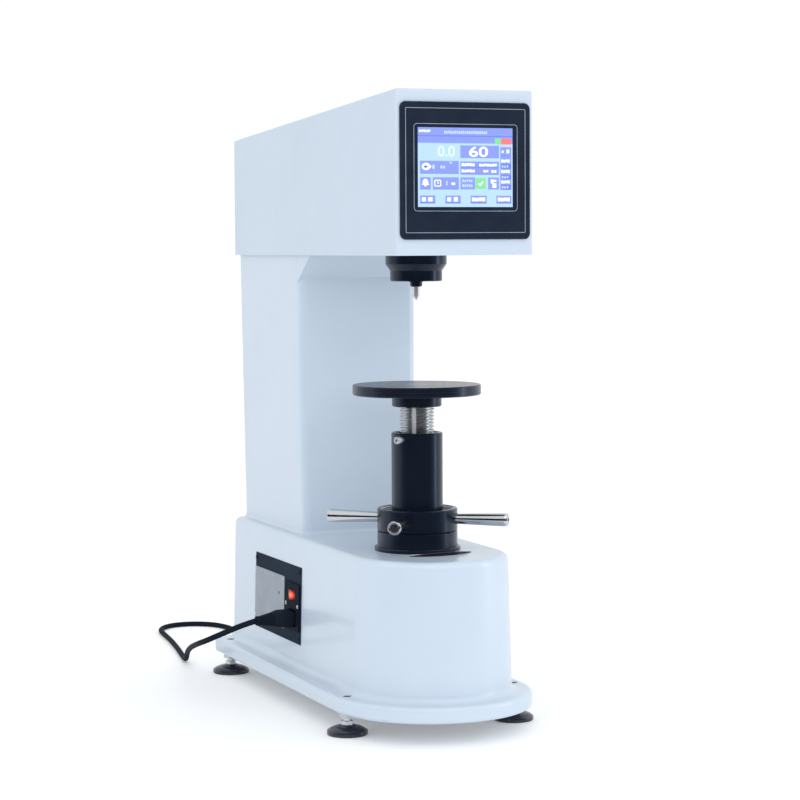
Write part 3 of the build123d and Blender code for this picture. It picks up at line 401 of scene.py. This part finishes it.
def nurbs(name, pts, radius, body="frame", mat=None):
    cu = D.curves.new(name, "CURVE")
    cu.dimensions = "3D"
    sp = cu.splines.new("NURBS")
    sp.points.add(len(pts) - 1)
    for p, (x, y, z) in zip(sp.points, pts):
        p.co = (x * MM, YA + y * MM, z * MM, 1)
    sp.order_u = 3
    sp.use_endpoint_u = True
    cu.resolution_u = 10
    cu.bevel_depth = radius * MM
    cu.bevel_resolution = 6
    cu.use_fill_caps = True
    ob = D.objects.new(name, cu)
    scene.collection.objects.link(ob)
    if mat:
        cu.materials.append(mat)
    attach(ob, body)
    return ob


lead = nurbs("mains_cord", ROUTE + coil_points() + TAIL, CORD_D / 2, mat=M_CORD)
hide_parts("power_cord", "cord_coil")

# connector: moulded body, ribbed taper and end collar
CY, CZ = 37.0 * MM, 103.0 * MM


def section(x, w, h, r, z, y=CY, seg=6):
    return [Vector((x, y + a, z + b)) for a, b in rounded_loop(w, h, r, seg)]


def skin(name, sections, **kw):
    verts, faces = [], []
    n = len(sections[0])
    for s in sections:
        verts += s
    for k in range(len(sections) - 1):
        for i in range(n):
            j = (i + 1) % n
            faces.append((k * n + i, k * n + j, (k + 1) * n + j, (k + 1) * n + i))
    faces.append(tuple(reversed(range(n))))
    faces.append(tuple((len(sections) - 1) * n + i for i in range(n)))
    return new_obj(name, verts, faces, **kw)


secs = []
for x, w, h, r, dz in ((-79.8, 22.6, 15.0, 2, 0), (-96.2, 22.6, 15.0, 2, 0), (-97.5, 23.5, 16.2, 3, 0),
                       (-97.6, 26.0, 18.6, 4, 0), (-98.6, 27.0, 19.5, 4.4, 0), (-112.0, 27.0, 19.5, 4.4, 0),
                       (-114.0, 26.4, 19.0, 5, 0), (-118.0, 23.6, 17.6, 5, -0.1), (-120.5, 22.0, 16.6, 5, -0.2)):
    secs.append(section(x * MM, w * MM, h * MM, r * MM, CZ + dz * MM))
w0, h0, w1, h1 = 20.6, 15.8, 10.8, 10.0
for i in range(6):
    f0, f1 = i / 6, (i + 0.62) / 6
    for f, grow in ((f0, 0.0), (f0 + 0.02, 1.0), (f1, 1.0), (f1 + 0.02, -1.3), ((i + 1) / 6 - 0.005, -1.3)):
        x = -121.0 - 17.0 * f
        w = w0 + (w1 - w0) * f + grow
        h = h0 + (h1 - h0) * f + grow
        secs.append(section(x * MM, w * MM, h * MM, min(w, h) * 0.42 * MM, CZ + (-0.2 - 0.6 * f) * MM))
for x, w in ((-138.2, 8.6), (-138.4, 10.8), (-139.2, 11.6), (-142.0, 11.6), (-142.8, 10.8), (-142.9, 8.4)):
    secs.append(section(x * MM, w * MM, w * MM, w * 0.49 * MM, CZ - 0.9 * MM))
conn = skin("lead_connector", secs, smooth=38, mat=M_CORD, slot="cord_black")
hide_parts("cord_connector")

# plug: round earthed type with two pins
PX, PY, PZ = 84.4 * MM, YA + 619.0 * MM, 18.9 * MM
prof = [(0.0, 0.0), (4.6, 0.0), (5.2, 0.8)]
for i in range(5):
    y0 = 2.0 + 4.0 * i
    r = 5.6 + 0.42 * i
    prof += [(r, y0), (r, y0 + 2.2), (r - 1.0, y0 + 2.5), (r - 0.9, y0 + 3.8)]
prof += [(7.6, 22.5), (10.5, 24.0), (13.6, 26.6), (15.6, 29.0), (17.2, 33.0), (18.2, 38.0), (18.6, 44.0), (18.6, 57.0), (18.1, 59.2),
         (17.2, 60.0), (15.4, 60.0), (15.0, 59.0), (0.0, 59.0)]
plug = lathe("plug_body", [(r * MM, h * MM) for r, h in prof], centre=(PX, PY, PZ), axis="Y", segs=72, closed=False,
             smooth=35, mat=M_CORD, slot="cord_black")
for sx in (-1, 1):
    lathe(f"plug_pin_{'l' if sx < 0 else 'r'}",
                      [(0, 58.0 * MM), (2.4 * MM, 58.0 * MM), (2.4 * MM, 77.4 * MM), (2.0 * MM, 78.4 * MM), (1.2 * MM, 78.9 * MM), (0, 79.0 * MM)],
                      centre=(PX + sx * 9.5 * MM, PY, PZ), axis="Y", segs=32, closed=False, smooth=35, mat=M_BRASSPIN, slot="polished_chrome")
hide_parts("mains_plug")

# tie round the put-away turns
tie_c = Vector(((COIL[0] + 39.0 * math.cos(math.radians(-60))) * MM, YA + (COIL[1] + 39.0 * math.sin(math.radians(-60))) * MM, 7.1 * MM))
rad_dir = Vector((math.cos(math.radians(-60)), math.sin(math.radians(-60)), 0))
tan_dir = Vector((-rad_dir.y, rad_dir.x, 0))
tf = Face(tie_c, rad_dir, (0, 0, 1), tan_dir)
tv, tfc = [], []
ring_slab(tv, tfc, tf, rounded_loop(14.2 * MM, 14.1 * MM, 3.6 * MM), rounded_loop(13.0 * MM, 13.0 * MM, 3.2 * MM), -2.4 * MM, 2.4 * MM)
tie = new_obj("coil_tie", tv, tfc, smooth=35, mat=M_BLACK, slot="black_matt")

# ------------------------------------------------------------------ display
FRONT = Face((0, -0.280, 0), (1, 0, 0), (0, 0, 1), (0, -1, 0))
GLASS = Face((0, -0.2792, 0), (1, 0, 0), (0, 0, 1), (0, -1, 0))


def on_face(name, face, items, mat, body="frame", slot=None):
    """items: (loop in millimetres, base height, top height) prisms joined into one piece."""
    vs, fs = [], []
    for loop, a, b in items:
        slab(vs, fs, face, [(x * MM, y * MM) for x, y in loop], a * MM, b * MM)
    return new_obj(name, vs, fs, smooth=30, mat=mat, body=body, slot=slot)


def outline(name, face, rings, mat, h0, h1, slot=None):
    vs, fs = [], []
    for outer, inner in rings:
        ring_slab(vs, fs, face, [(x * MM, y * MM) for x, y in outer], [(x * MM, y * MM) for x, y in inner], h0 * MM, h1 * MM)
    return new_obj(name, vs, fs, smooth=30, mat=mat, slot=slot)


outline("bezel_line", FRONT, [(shift(rounded_loop(144.4, 137.0, 1.4), 0, 640.2), shift(rounded_loop(143.1, 135.7, 0.7), 0, 640.2))],
        M_LINE, -0.02, 0.12, "plate_grey")
outline("display_rim", FRONT, [(shift(rounded_loop(124.9, 96.0, 4.0), 0, 643.5), shift(rounded_loop(123.7, 94.8, 3.4), 0, 643.5))],
        M_LCDRIM, -0.02, 0.14, "plate_grey")

LW, LH, LX, LZ = 114.0, 87.0, -0.2, 643.8


def ui(x0, y0, x1, y1):
    """a box on the display from fractions of its width and of its height measured from the top."""
    return rect(LX - LW / 2 + x0 * LW, LZ + LH / 2 - y1 * LH, LX - LW / 2 + x1 * LW, LZ + LH / 2 - y0 * LH)


U_PALE = glow("display_pale_blue", (0.47, 0.68, 0.98), 0.74)
U_VIOLET = glow("display_violet", (0.245, 0.315, 0.87), 0.79)
U_DEEP = glow("display_deep_violet", (0.165, 0.215, 0.68), 0.80)
U_WHITE = glow("display_white", (0.90, 0.95, 1.0), 0.92, var=0.03)
U_FAINT = glow("display_faint", (0.52, 0.66, 1.0), 0.86, var=0.03)
U_READ = glow("display_reading_blue", (0.66, 0.87, 1.0), 0.86, var=0.03)
U_GREEN = glow("display_green", (0.22, 0.68, 0.27), 0.84)
U_RED = glow("display_red", (0.95, 0.19, 0.21), 0.84)

on_face("display_ground", GLASS, [(ui(0, 0, 1, 1), -0.02, 0.05)], U_PALE, slot="screen")
on_face("display_bars", GLASS, [(ui(*b), 0.04, 0.10) for b in (
    (0, 0, 1, 0.100), (0, 0.112, 1, 0.196), (0.445, 0.222, 0.855, 0.382), (0.022, 0.420, 0.428, 0.580), (0.022, 0.626, 0.134, 0.778),
    (0.154, 0.626, 0.428, 0.778), (0.445, 0.425, 0.855, 0.580), (0.445, 0.626, 0.600, 0.778), (0.738, 0.626, 0.855, 0.778),
    (0.870, 0.240, 0.986, 0.782), (0.022, 0.856, 0.180, 0.956), (0.286, 0.856, 0.446, 0.956), (0.552, 0.856, 0.722, 0.956),
    (0.826, 0.856, 0.986, 0.956))], U_VIOLET, slot="screen")
on_face("display_rules", GLASS, [(ui(*b), 0.04, 0.13) for b in (
    (0, 0.100, 1, 0.112), (0.445, 0.580, 0.855, 0.590), (0.445, 0.498, 0.855, 0.506), (0.870, 0.345, 0.986, 0.352),
    (0.870, 0.455, 0.986, 0.512), (0.870, 0.592, 0.986, 0.648), (0.870, 0.716, 0.986, 0.782), (0.022, 0.942, 0.180, 0.956),
    (0.286, 0.942, 0.446, 0.956), (0.552, 0.942, 0.722, 0.956), (0.826, 0.942, 0.986, 0.956), (0.022, 0.574, 0.428, 0.582),
    (0.022, 0.772, 0.134, 0.780), (0.154, 0.772, 0.428, 0.780))], U_DEEP, slot="screen")
on_face("display_green_mark", GLASS, [(ui(0.812, 0.128, 0.874, 0.206), 0.04, 0.14), (ui(0.606, 0.634, 0.712, 0.770), 0.04, 0.14)],
        U_GREEN, slot="screen")
on_face("display_red_mark", GLASS, [(ui(0.878, 0.128, 0.986, 0.206), 0.04, 0.14)], U_RED, slot="screen")


def blobs(x0, x1, y0, y1, n, gap=0.3):
    """a short row of plain marks."""
    w = (x1 - x0) / n
    return [(ui(x0 + i * w, y0 + (0.004 if i % 3 == 1 else 0), x0 + (i + 1 - gap) * w, y1 - (0.004 if i % 4 == 2 else 0)), 0.08, 0.17) for i in range(n)]


marks = (blobs(0.012, 0.135, 0.030, 0.062, 7) + blobs(0.458, 0.600, 0.446, 0.484, 5, 0.18) + blobs(0.645, 0.835, 0.452, 0.486, 7, 0.18)
         + blobs(0.458, 0.600, 0.526, 0.562, 5, 0.18) + blobs(0.690, 0.745, 0.530, 0.562, 3) + blobs(0.775, 0.835, 0.530, 0.566, 2)
         + blobs(0.885, 0.912, 0.282, 0.312, 1) + blobs(0.936, 0.968, 0.270, 0.316, 1, 0.1) + blobs(0.880, 0.972, 0.396, 0.434, 4, 0.2)
         + blobs(0.880, 0.972, 0.528, 0.568, 4, 0.2) + blobs(0.880, 0.972, 0.662, 0.700, 4, 0.2) + blobs(0.040, 0.085, 0.880, 0.930, 1, 0.1)
         + blobs(0.105, 0.155, 0.880, 0.930, 1, 0.1) + blobs(0.306, 0.350, 0.880, 0.930, 1, 0.1) + blobs(0.375, 0.420, 0.876, 0.930, 1, 0.1)
         + blobs(0.566, 0.710, 0.880, 0.928, 4, 0.12) + blobs(0.842, 0.972, 0.880, 0.928, 4, 0.12) + blobs(0.350, 0.392, 0.692, 0.722, 1, 0.1)
         + blobs(0.766, 0.800, 0.650, 0.700, 1, 0.1) + blobs(0.785, 0.830, 0.700, 0.755, 1, 0.1) + blobs(0.800, 0.832, 0.655, 0.680, 1, 0.2))
on_face("display_marks", GLASS, marks, U_WHITE, slot="screen")
faint = (blobs(0.275, 0.735, 0.040, 0.078, 21, 0.35) + blobs(0.150, 0.185, 0.470, 0.520, 1) + blobs(0.235, 0.290, 0.478, 0.515, 2)
         + blobs(0.330, 0.368, 0.432, 0.452, 1) + blobs(0.465, 0.580, 0.652, 0.684, 5, 0.35) + blobs(0.465, 0.580, 0.712, 0.748, 5, 0.35)
         + blobs(0.885, 0.965, 0.470, 0.500, 3, 0.4) + blobs(0.885, 0.965, 0.606, 0.636, 3, 0.4) + blobs(0.885, 0.965, 0.732, 0.765, 3, 0.4)
         + blobs(0.296, 0.312, 0.670, 0.730, 1))
on_face("display_faint_marks", GLASS, faint, U_FAINT, slot="screen")


def ellipse(cx, cy, rx, ry, n=28, a0=0.0, a1=360.0):
    """rx and ry in fractions of the width and height; full loop of points in millimetres."""
    out = []
    for i in range(n):
        a = math.radians(a0 + (a1 - a0) * i / (n if a1 - a0 >= 360 else n - 1))
        out.append((LX - LW / 2 + cx * LW + rx * LW * math.cos(a), LZ + LH / 2 - cy * LH + ry * LH * math.sin(a)))
    return out


# symbols: drop with an eye, bell, clock, tick
drop = ellipse(0.084, 0.492, 0.045, 0.046, 24, 40, 320) + [(LX - LW / 2 + 0.142 * LW, LZ + LH / 2 - 0.492 * LH)]
bell = [(LX - LW / 2 + x * LW, LZ + LH / 2 - y * LH) for x, y in
        ((0.036, 0.722), (0.048, 0.708), (0.052, 0.672), (0.064, 0.652), (0.078, 0.646), (0.092, 0.652), (0.104, 0.672), (0.108, 0.708), (0.120, 0.722))]
on_face("display_symbols", GLASS, [(drop, 0.08, 0.17), (list(reversed(bell)), 0.08, 0.17), (ui(0.066, 0.726, 0.090, 0.740), 0.08, 0.17)],
        U_WHITE, slot="screen")
on_face("display_eye", GLASS, [(ellipse(0.080, 0.494, 0.022, 0.016), 0.15, 0.20)], U_DEEP, slot="screen")
outline("display_clock", GLASS, [(shift(rounded_loop(8.2, 7.4, 1.4), LX - LW / 2 + 0.206 * LW, LZ + LH / 2 - 0.700 * LH),
                                  shift(rounded_loop(6.2, 5.4, 0.9), LX - LW / 2 + 0.206 * LW, LZ + LH / 2 - 0.700 * LH))],
        U_WHITE, 0.08, 0.17, slot="screen")
hx, hz = LX - LW / 2 + 0.206 * LW, LZ + LH / 2 - 0.700 * LH
on_face("display_clock_hands", GLASS, [(rect(hx - 0.4, hz - 0.4, hx + 0.4, hz + 2.2), 0.08, 0.17), (rect(hx - 0.4, hz - 0.4, hx + 1.8, hz + 0.4), 0.08, 0.17)],
        U_WHITE, slot="screen")
tk = [(LX - LW / 2 + x * LW, LZ + LH / 2 - y * LH) for x, y in
      ((0.630, 0.706), (0.640, 0.694), (0.652, 0.712), (0.682, 0.668), (0.692, 0.680), (0.653, 0.738))]
on_face("display_tick", GLASS, [(list(reversed(tk)), 0.13, 0.20)], U_WHITE, slot="screen")


def digits(name, text, x, z, size, mat, bold=0.0, sx=1.0):
    """plain figures lying on the display, left edge x and base line z in millimetres."""
    cu = D.curves.new(name + "_c", "FONT")
    cu.body = text
    cu.size = size * MM
    cu.extrude = 0.03 * MM
    cu.offset = bold * MM
    cu.resolution_u = 4
    tmp = D.objects.new(name + "_c", cu)
    scene.collection.objects.link(tmp)
    bpy.context.view_layer.update()
    me = D.meshes.new_from_object(tmp.evaluated_get(bpy.context.evaluated_depsgraph_get()))
    D.objects.remove(tmp)
    D.curves.remove(cu)
    me.name = name
    for v in me.vertices:
        a, b, c = v.co
        v.co = GLASS.at(x * MM + a * sx, z * MM + b, 0.14 * MM + c)
    me.materials.clear()
    me.materials.append(mat)
    ob = D.objects.new(name, me)
    scene.collection.objects.link(ob)
    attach(ob, "frame")
    return ob


digits("display_reading", "0.0", LX - LW / 2 + 0.205 * LW, LZ + LH / 2 - 0.362 * LH, 16.5, U_READ, 0.15, 1.05)
digits("display_value", "60", LX - LW / 2 + 0.530 * LW, LZ + LH / 2 - 0.362 * LH, 15.6, U_WHITE, 0.22, 1.55)

# ------------------------------------------------------------------ elevating screw with its real helix
PITCH, R_O, R_I, R_KEY = 4.0, 20.25, 18.05, 16.65
ZB, ZT, KEY_A = 86.0, 370.7, math.radians(236.6)
half = math.asin(3.0 / R_O)
cols = [(KEY_A - half, True), (KEY_A, True), (KEY_A + half, True)]
nseg = 84
for i in range(nseg + 1):
    cols.append((KEY_A + half + (2 * math.pi - 2 * half) * i / nseg, False))
prof = [(0.00, R_O), (0.22, R_O), (0.36, (R_O + R_I) / 2), (0.50, R_I), (0.72, R_I), (0.86, (R_O + R_I) / 2)]
n_p = len(prof)
turns = int((ZT - ZB) / PITCH) + 2
verts, faces = [], []
rows = turns * n_p
z_thread = 100.0
for a, key in cols:
    t = (a - KEY_A + half) / (2 * math.pi)
    for j in range(rows):
        k, p = divmod(j, n_p)
        z = ZB - PITCH + PITCH * (k + prof[p][0] + t)
        r = prof[p][1]
        if key:
            r = R_KEY
        if z <= ZB or z >= ZT:
            z = min(max(z, ZB), ZT)
            r = min(r, R_KEY)
        elif z < z_thread:
            r = R_KEY if key else R_O
        verts.append((r * math.cos(a) * MM, YA + r * math.sin(a) * MM, z * MM))
nc = len(cols)
for c in range(nc - 1):
    for j in range(rows - 1):
        faces.append((c * rows + j, (c + 1) * rows + j, (c + 1) * rows + j + 1, c * rows + j + 1))
# last column is the first one turned once, shifted by one pitch; it meets the key's near wall
base_last, base_first = (nc - 1) * rows, 0
for j in range(rows - 1 - n_p):
    faces.append((base_last + j, base_first + j + n_p, base_first + j + n_p + 1, base_last + j + 1))
for j in range(n_p):
    pass
screw = None
rim_top = len(verts)
socket = [(10.0, ZT), (10.0, 325.0)]
ring_cols = [a for a, _ in cols]
for r, z in socket:
    for a in ring_cols:
        verts.append((r * math.cos(a) * MM, YA + r * math.sin(a) * MM, z * MM))
for c in range(nc):
    d = (c + 1) % nc
    top_c, top_d = c * rows + rows - 1, d * rows + rows - 1
    faces.append((top_c, top_d, rim_top + d, rim_top + c))
    faces.append((rim_top + c, rim_top + d, rim_top + nc + d, rim_top + nc + c))
faces.append(tuple(rim_top + nc + c for c in range(nc)))
faces.append(tuple(c * rows for c in reversed(range(nc))))
screw = new_obj("screw_helix", verts, faces, body="screw", smooth=24, mat=M_SCREW, slot="ground_steel")
screw.data.materials.append(M_MILLED)
kdir = Vector((math.cos(KEY_A), math.sin(KEY_A)))
for p in screw.data.polygons:
    q = Vector((p.center.x, p.center.y - YA))
    if q.dot(kdir) > (R_KEY - 0.4) * MM and abs(q.x * kdir.y - q.y * kdir.x) < 2.9 * MM and q.length < (R_KEY + 0.2) * MM:
        p.material_index = 1
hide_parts("elevating_screw")

# ------------------------------------------------------------------ machined wall of the recess in the handwheel hub
lathe("hub_recess_wall", [(41.56 * MM, 246.44 * MM), (41.56 * MM, 251.0 * MM), (41.2 * MM, 251.0 * MM), (40.9 * MM, 250.6 * MM), (40.9 * MM, 246.44 * MM)],
      body="handwheel", smooth=30, mat=M_SATIN, slot="ground_steel")

# ------------------------------------------------------------------ gasket under the support collar, its edge lifted at the front right; a black strip stands in as painted shade of the gap under the lifted edge
G0, G1, GR = math.radians(240.0), math.radians(313.0), 69.0


def gasket(name, section_at, mat, slot):
    """section_at(t) -> (radius, height) points of a closed cross-section, for t from 0 to 1 along the edge."""
    n, vs, fs = 60, [], []
    for i in range(n + 1):
        t = i / n
        a = G0 + (G1 - G0) * t
        sec = section_at(t)
        for r, z in sec:
            vs.append((r * math.cos(a) * MM, YA + r * math.sin(a) * MM, z * MM))
    m = len(sec)
    for i in range(n):
        for k in range(m):
            q = (k + 1) % m
            fs.append((i * m + k, i * m + q, (i + 1) * m + q, (i + 1) * m + k))
    fs.append(tuple(reversed(range(m))))
    fs.append(tuple(n * m + k for k in range(m)))
    return new_obj(name, vs, fs, smooth=30, mat=mat, slot=slot)


def lift(t):
    return 203.12 + 3.5 * math.sin(math.pi * min(1.0, max(0.0, t))) ** 0.8


M_GASKET = plastic("gasket_pale", (0.50, 0.55, 0.62), (0.55, 0.60, 0.67), 0.4, 600, 0.1)
# black strip from the deck up to the lifted edge: painted shade of the gap under the film
gasket("gasket_edge", lambda t: [(GR - 1.0, 203.02), (GR, 203.02), (GR, lift(t)), (GR - 1.0, lift(t) + 0.02)], M_BLACK_OX, "dark_steel")
gasket("gasket_bead", lambda t: [(GR - 2.1, lift(t) - 0.30), (GR - 1.02, lift(t) - 0.20), (GR - 1.02, lift(t) + 0.30), (GR - 2.1, lift(t) + 0.22)], M_SEAL, "dark_steel")
gasket("gasket_web", lambda t: [(50.6, 203.02), (GR - 2.15, lift(t) - 0.55), (GR - 2.15, lift(t) + 0.05), (50.6, 203.40)], M_GASKET, "casting_paint")

# ------------------------------------------------------------------ levelling feet, and black discs just inside the stud holes as painted shade of the holes' depth
FEET = {"front_left": (-104.7, -175.0), "front_right": (104.7, -175.0), "rear_left": (-104.7, 253.0), "rear_right": (104.7, 253.0)}
pad_prof = [(0, 0.8), (19.6, 0.8), (20.2, 0.0), (22.6, 0.0), (23.3, 0.7), (23.5, 1.6), (23.5, 4.4), (23.2, 5.2), (22.5, 5.6), (21.7, 5.7), (21.5, 6.1),
            (20.6, 7.0), (18.2, 8.3), (14.6, 9.6), (11.2, 10.4), (9.4, 10.7), (8.8, 11.3), (8.2, 11.4), (5.1, 11.4), (5.1, 9.45), (0, 9.45)]
for n, (fx, fy) in FEET.items():
    pad = lathe("pad_" + n, [(r * MM, h * MM) for r, h in pad_prof], centre=(fx * MM, fy * MM, 0), segs=72, closed=False,
                body="foot_" + n, smooth=32, mat=M_PAD, slot="black_plastic")
    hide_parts("foot_pad_" + n)
    # black disc just inside each stud hole: painted shade of the hole's depth
    lathe("stud_cap_" + n, [(0, 42.1 * MM), (4.7 * MM, 42.1 * MM), (4.95 * MM, 42.4 * MM), (4.95 * MM, 42.9 * MM), (4.6 * MM, 43.2 * MM), (2.4 * MM, 43.3 * MM),
                            (2.2 * MM, 42.8 * MM), (0, 42.8 * MM)], centre=(fx * MM, fy * MM, 0), segs=40, closed=False, smooth=35, mat=M_BLACK, slot="black_matt")

# ------------------------------------------------------------------ plate rivets, painted shade of the plate's pin hole, and the inlet's screws with their slots in painted shade
dr = math.radians(1.45)
SIDE = Face(((-93.07) * MM, YA + 230.6 * MM, 120.1 * MM), (0, -1, 0), (math.sin(dr), 0, math.cos(dr)), (-math.cos(dr), 0, math.sin(dr)))
pins_v, pins_f = [], []


def disc(face, u, v, r, h0, h1, n=28, bev=0.25):
    """a low round head with a bevelled rim, in millimetres."""
    b = len(pins_v)
    for rr, hh in ((r, h0), (r, h1 - bev), (r - bev, h1)):
        for i in range(n):
            a = 2 * math.pi * i / n
            pins_v.append(face.at((u + rr * math.cos(a)) * MM, (v + rr * math.sin(a)) * MM, hh * MM))
    for k in range(2):
        for i in range(n):
            j = (i + 1) % n
            pins_f.append((b + k * n + i, b + k * n + j, b + (k + 1) * n + j, b + (k + 1) * n + i))
    pins_f.append(tuple(b + i for i in reversed(range(n))))
    pins_f.append(tuple(b + 2 * n + i for i in range(n)))


for pu, pv in ((-81.4, 26.2), (22.6, 26.2), (-81.4, -31.8), (22.6, -31.8)):
    disc(SIDE, pu, pv, 1.5, 1.55, 2.15)
new_obj("plate_rivets", pins_v, pins_f, smooth=35, mat=M_CHROME, slot="polished_chrome")
pins_v, pins_f = [], []
# dark disc where the plate has a pin hole: painted shade of the hole
disc(SIDE, 6.6, 6.8, 2.2, 1.55, 1.95)
new_obj("plate_pin", pins_v, pins_f, smooth=35, mat=M_DARKSCREW, slot="dark_steel")
pins_v, pins_f = [], []
for pu in (58.6 - 20.9, 58.6 + 20.9):
    disc(SIDE, pu, -1.0, 2.4, 2.9, 3.7, bev=0.5)
new_obj("inlet_screws", pins_v, pins_f, smooth=35, mat=M_CHROME, slot="polished_chrome")
# dark crosses lying flat on the screw heads: painted shade of the slots
slots = []
for pu in (58.6 - 20.9, 58.6 + 20.9):
    slots += [(rect(pu - 1.6, -1.25, pu + 1.6, -0.75), 3.68, 3.74), (rect(pu - 0.25, -2.6, pu + 0.25, 0.6), 3.68, 3.74)]
on_face("inlet_screw_slots", SIDE, slots, M_DARKSCREW, slot="dark_steel")

# ------------------------------------------------------------------ stage and light
fl = 12.0
M_FLOOR = plastic("floor_white", (0.86, 0.865, 0.87), (0.87, 0.875, 0.88), 0.7, 50, 0.02)
fb = [n for n in M_FLOOR.node_tree.nodes if n.type == "BSDF_PRINCIPLED"][0]
fb.inputs["Emission Color"].default_value = (1.0, 1.0, 1.0, 1)
fb.inputs["Emission Strength"].default_value = 0.15
floor = new_obj("floor", [(-fl, -fl, 0), (fl, -fl, 0), (fl, fl, 0), (-fl, fl, 0)], [(0, 1, 2, 3)], body=None,
                mat=M_FLOOR)

world = D.worlds.new("studio")
scene.world = world
world.use_nodes = True
bg = world.node_tree.nodes["Background"]
bg.inputs[0].default_value = (0.968, 0.985, 1.0, 1)
bg.inputs[1].default_value = 1.045
scene.view_settings.view_transform = "Standard"


def area(name, loc, target, size, size_y, power, col=(1, 1, 1)):
    ld = D.lights.new(name, "AREA")
    ld.shape = "RECTANGLE"
    ld.size, ld.size_y, ld.energy, ld.color = size, size_y, power, col
    ob = D.objects.new(name, ld)
    scene.collection.objects.link(ob)
    ob.location = loc
    ob.rotation_euler = (Vector(target) - Vector(loc)).to_track_quat("-Z", "Y").to_euler()
    return ob


area("soft_over_front", (-0.7, -2.1, 2.9), (0, 0, 0.3), 2.4, 1.4, 9)
area("strip_right", (2.1, -1.0, 0.7), (0, -0.1, 0.35), 0.30, 1.6, 7, (0.90, 0.95, 1.0))
fill = area("fill_front", (-0.9, -2.5, 0.98), (0, 0.0, 0.35), 1.6, 0.9, 12, (0.93, 0.96, 1.0))
fill.visible_glossy = False

# dark studio drapes round the camera side: only mirrored, they give the polished and black parts something dark to reflect
DRAPES = [plastic("drape_black", (0.012, 0.012, 0.013), (0.018, 0.018, 0.020), 0.9, 60, 0.1, spec=0.1),
          plastic("drape_grey", (0.14, 0.14, 0.15), (0.18, 0.18, 0.19), 0.9, 60, 0.1, spec=0.1),
          plastic("drape_light", (0.42, 0.43, 0.45), (0.48, 0.49, 0.51), 0.9, 60, 0.1, spec=0.1)]
dv, df = [], []
n_d, a0, a1 = 60, math.radians(168), math.radians(330)
for i in range(n_d + 1):
    a = a0 + (a1 - a0) * i / n_d
    for r, z in ((0.95, 0.004), (3.5, 0.004), (3.5, 1.7)):
        dv.append((r * math.cos(a), YA + r * math.sin(a), z))
for i in range(n_d):
    for k in range(2):
        df.append((i * 3 + k, (i + 1) * 3 + k, (i + 1) * 3 + k + 1, i * 3 + k + 1))
drape = new_obj("drape", dv, df, body=None, mat=DRAPES[0])
drape.data.materials.append(DRAPES[1])
drape.data.materials.append(DRAPES[2])
for p in drape.data.polygons:
    az = math.degrees(math.atan2(p.center.y - YA, p.center.x)) % 360
    e = min(az - 168, 330 - az)
    p.material_index = 2 if e < 10 else 1 if e < 22 else 0
drape.visible_camera = drape.visible_diffuse = drape.visible_shadow = False
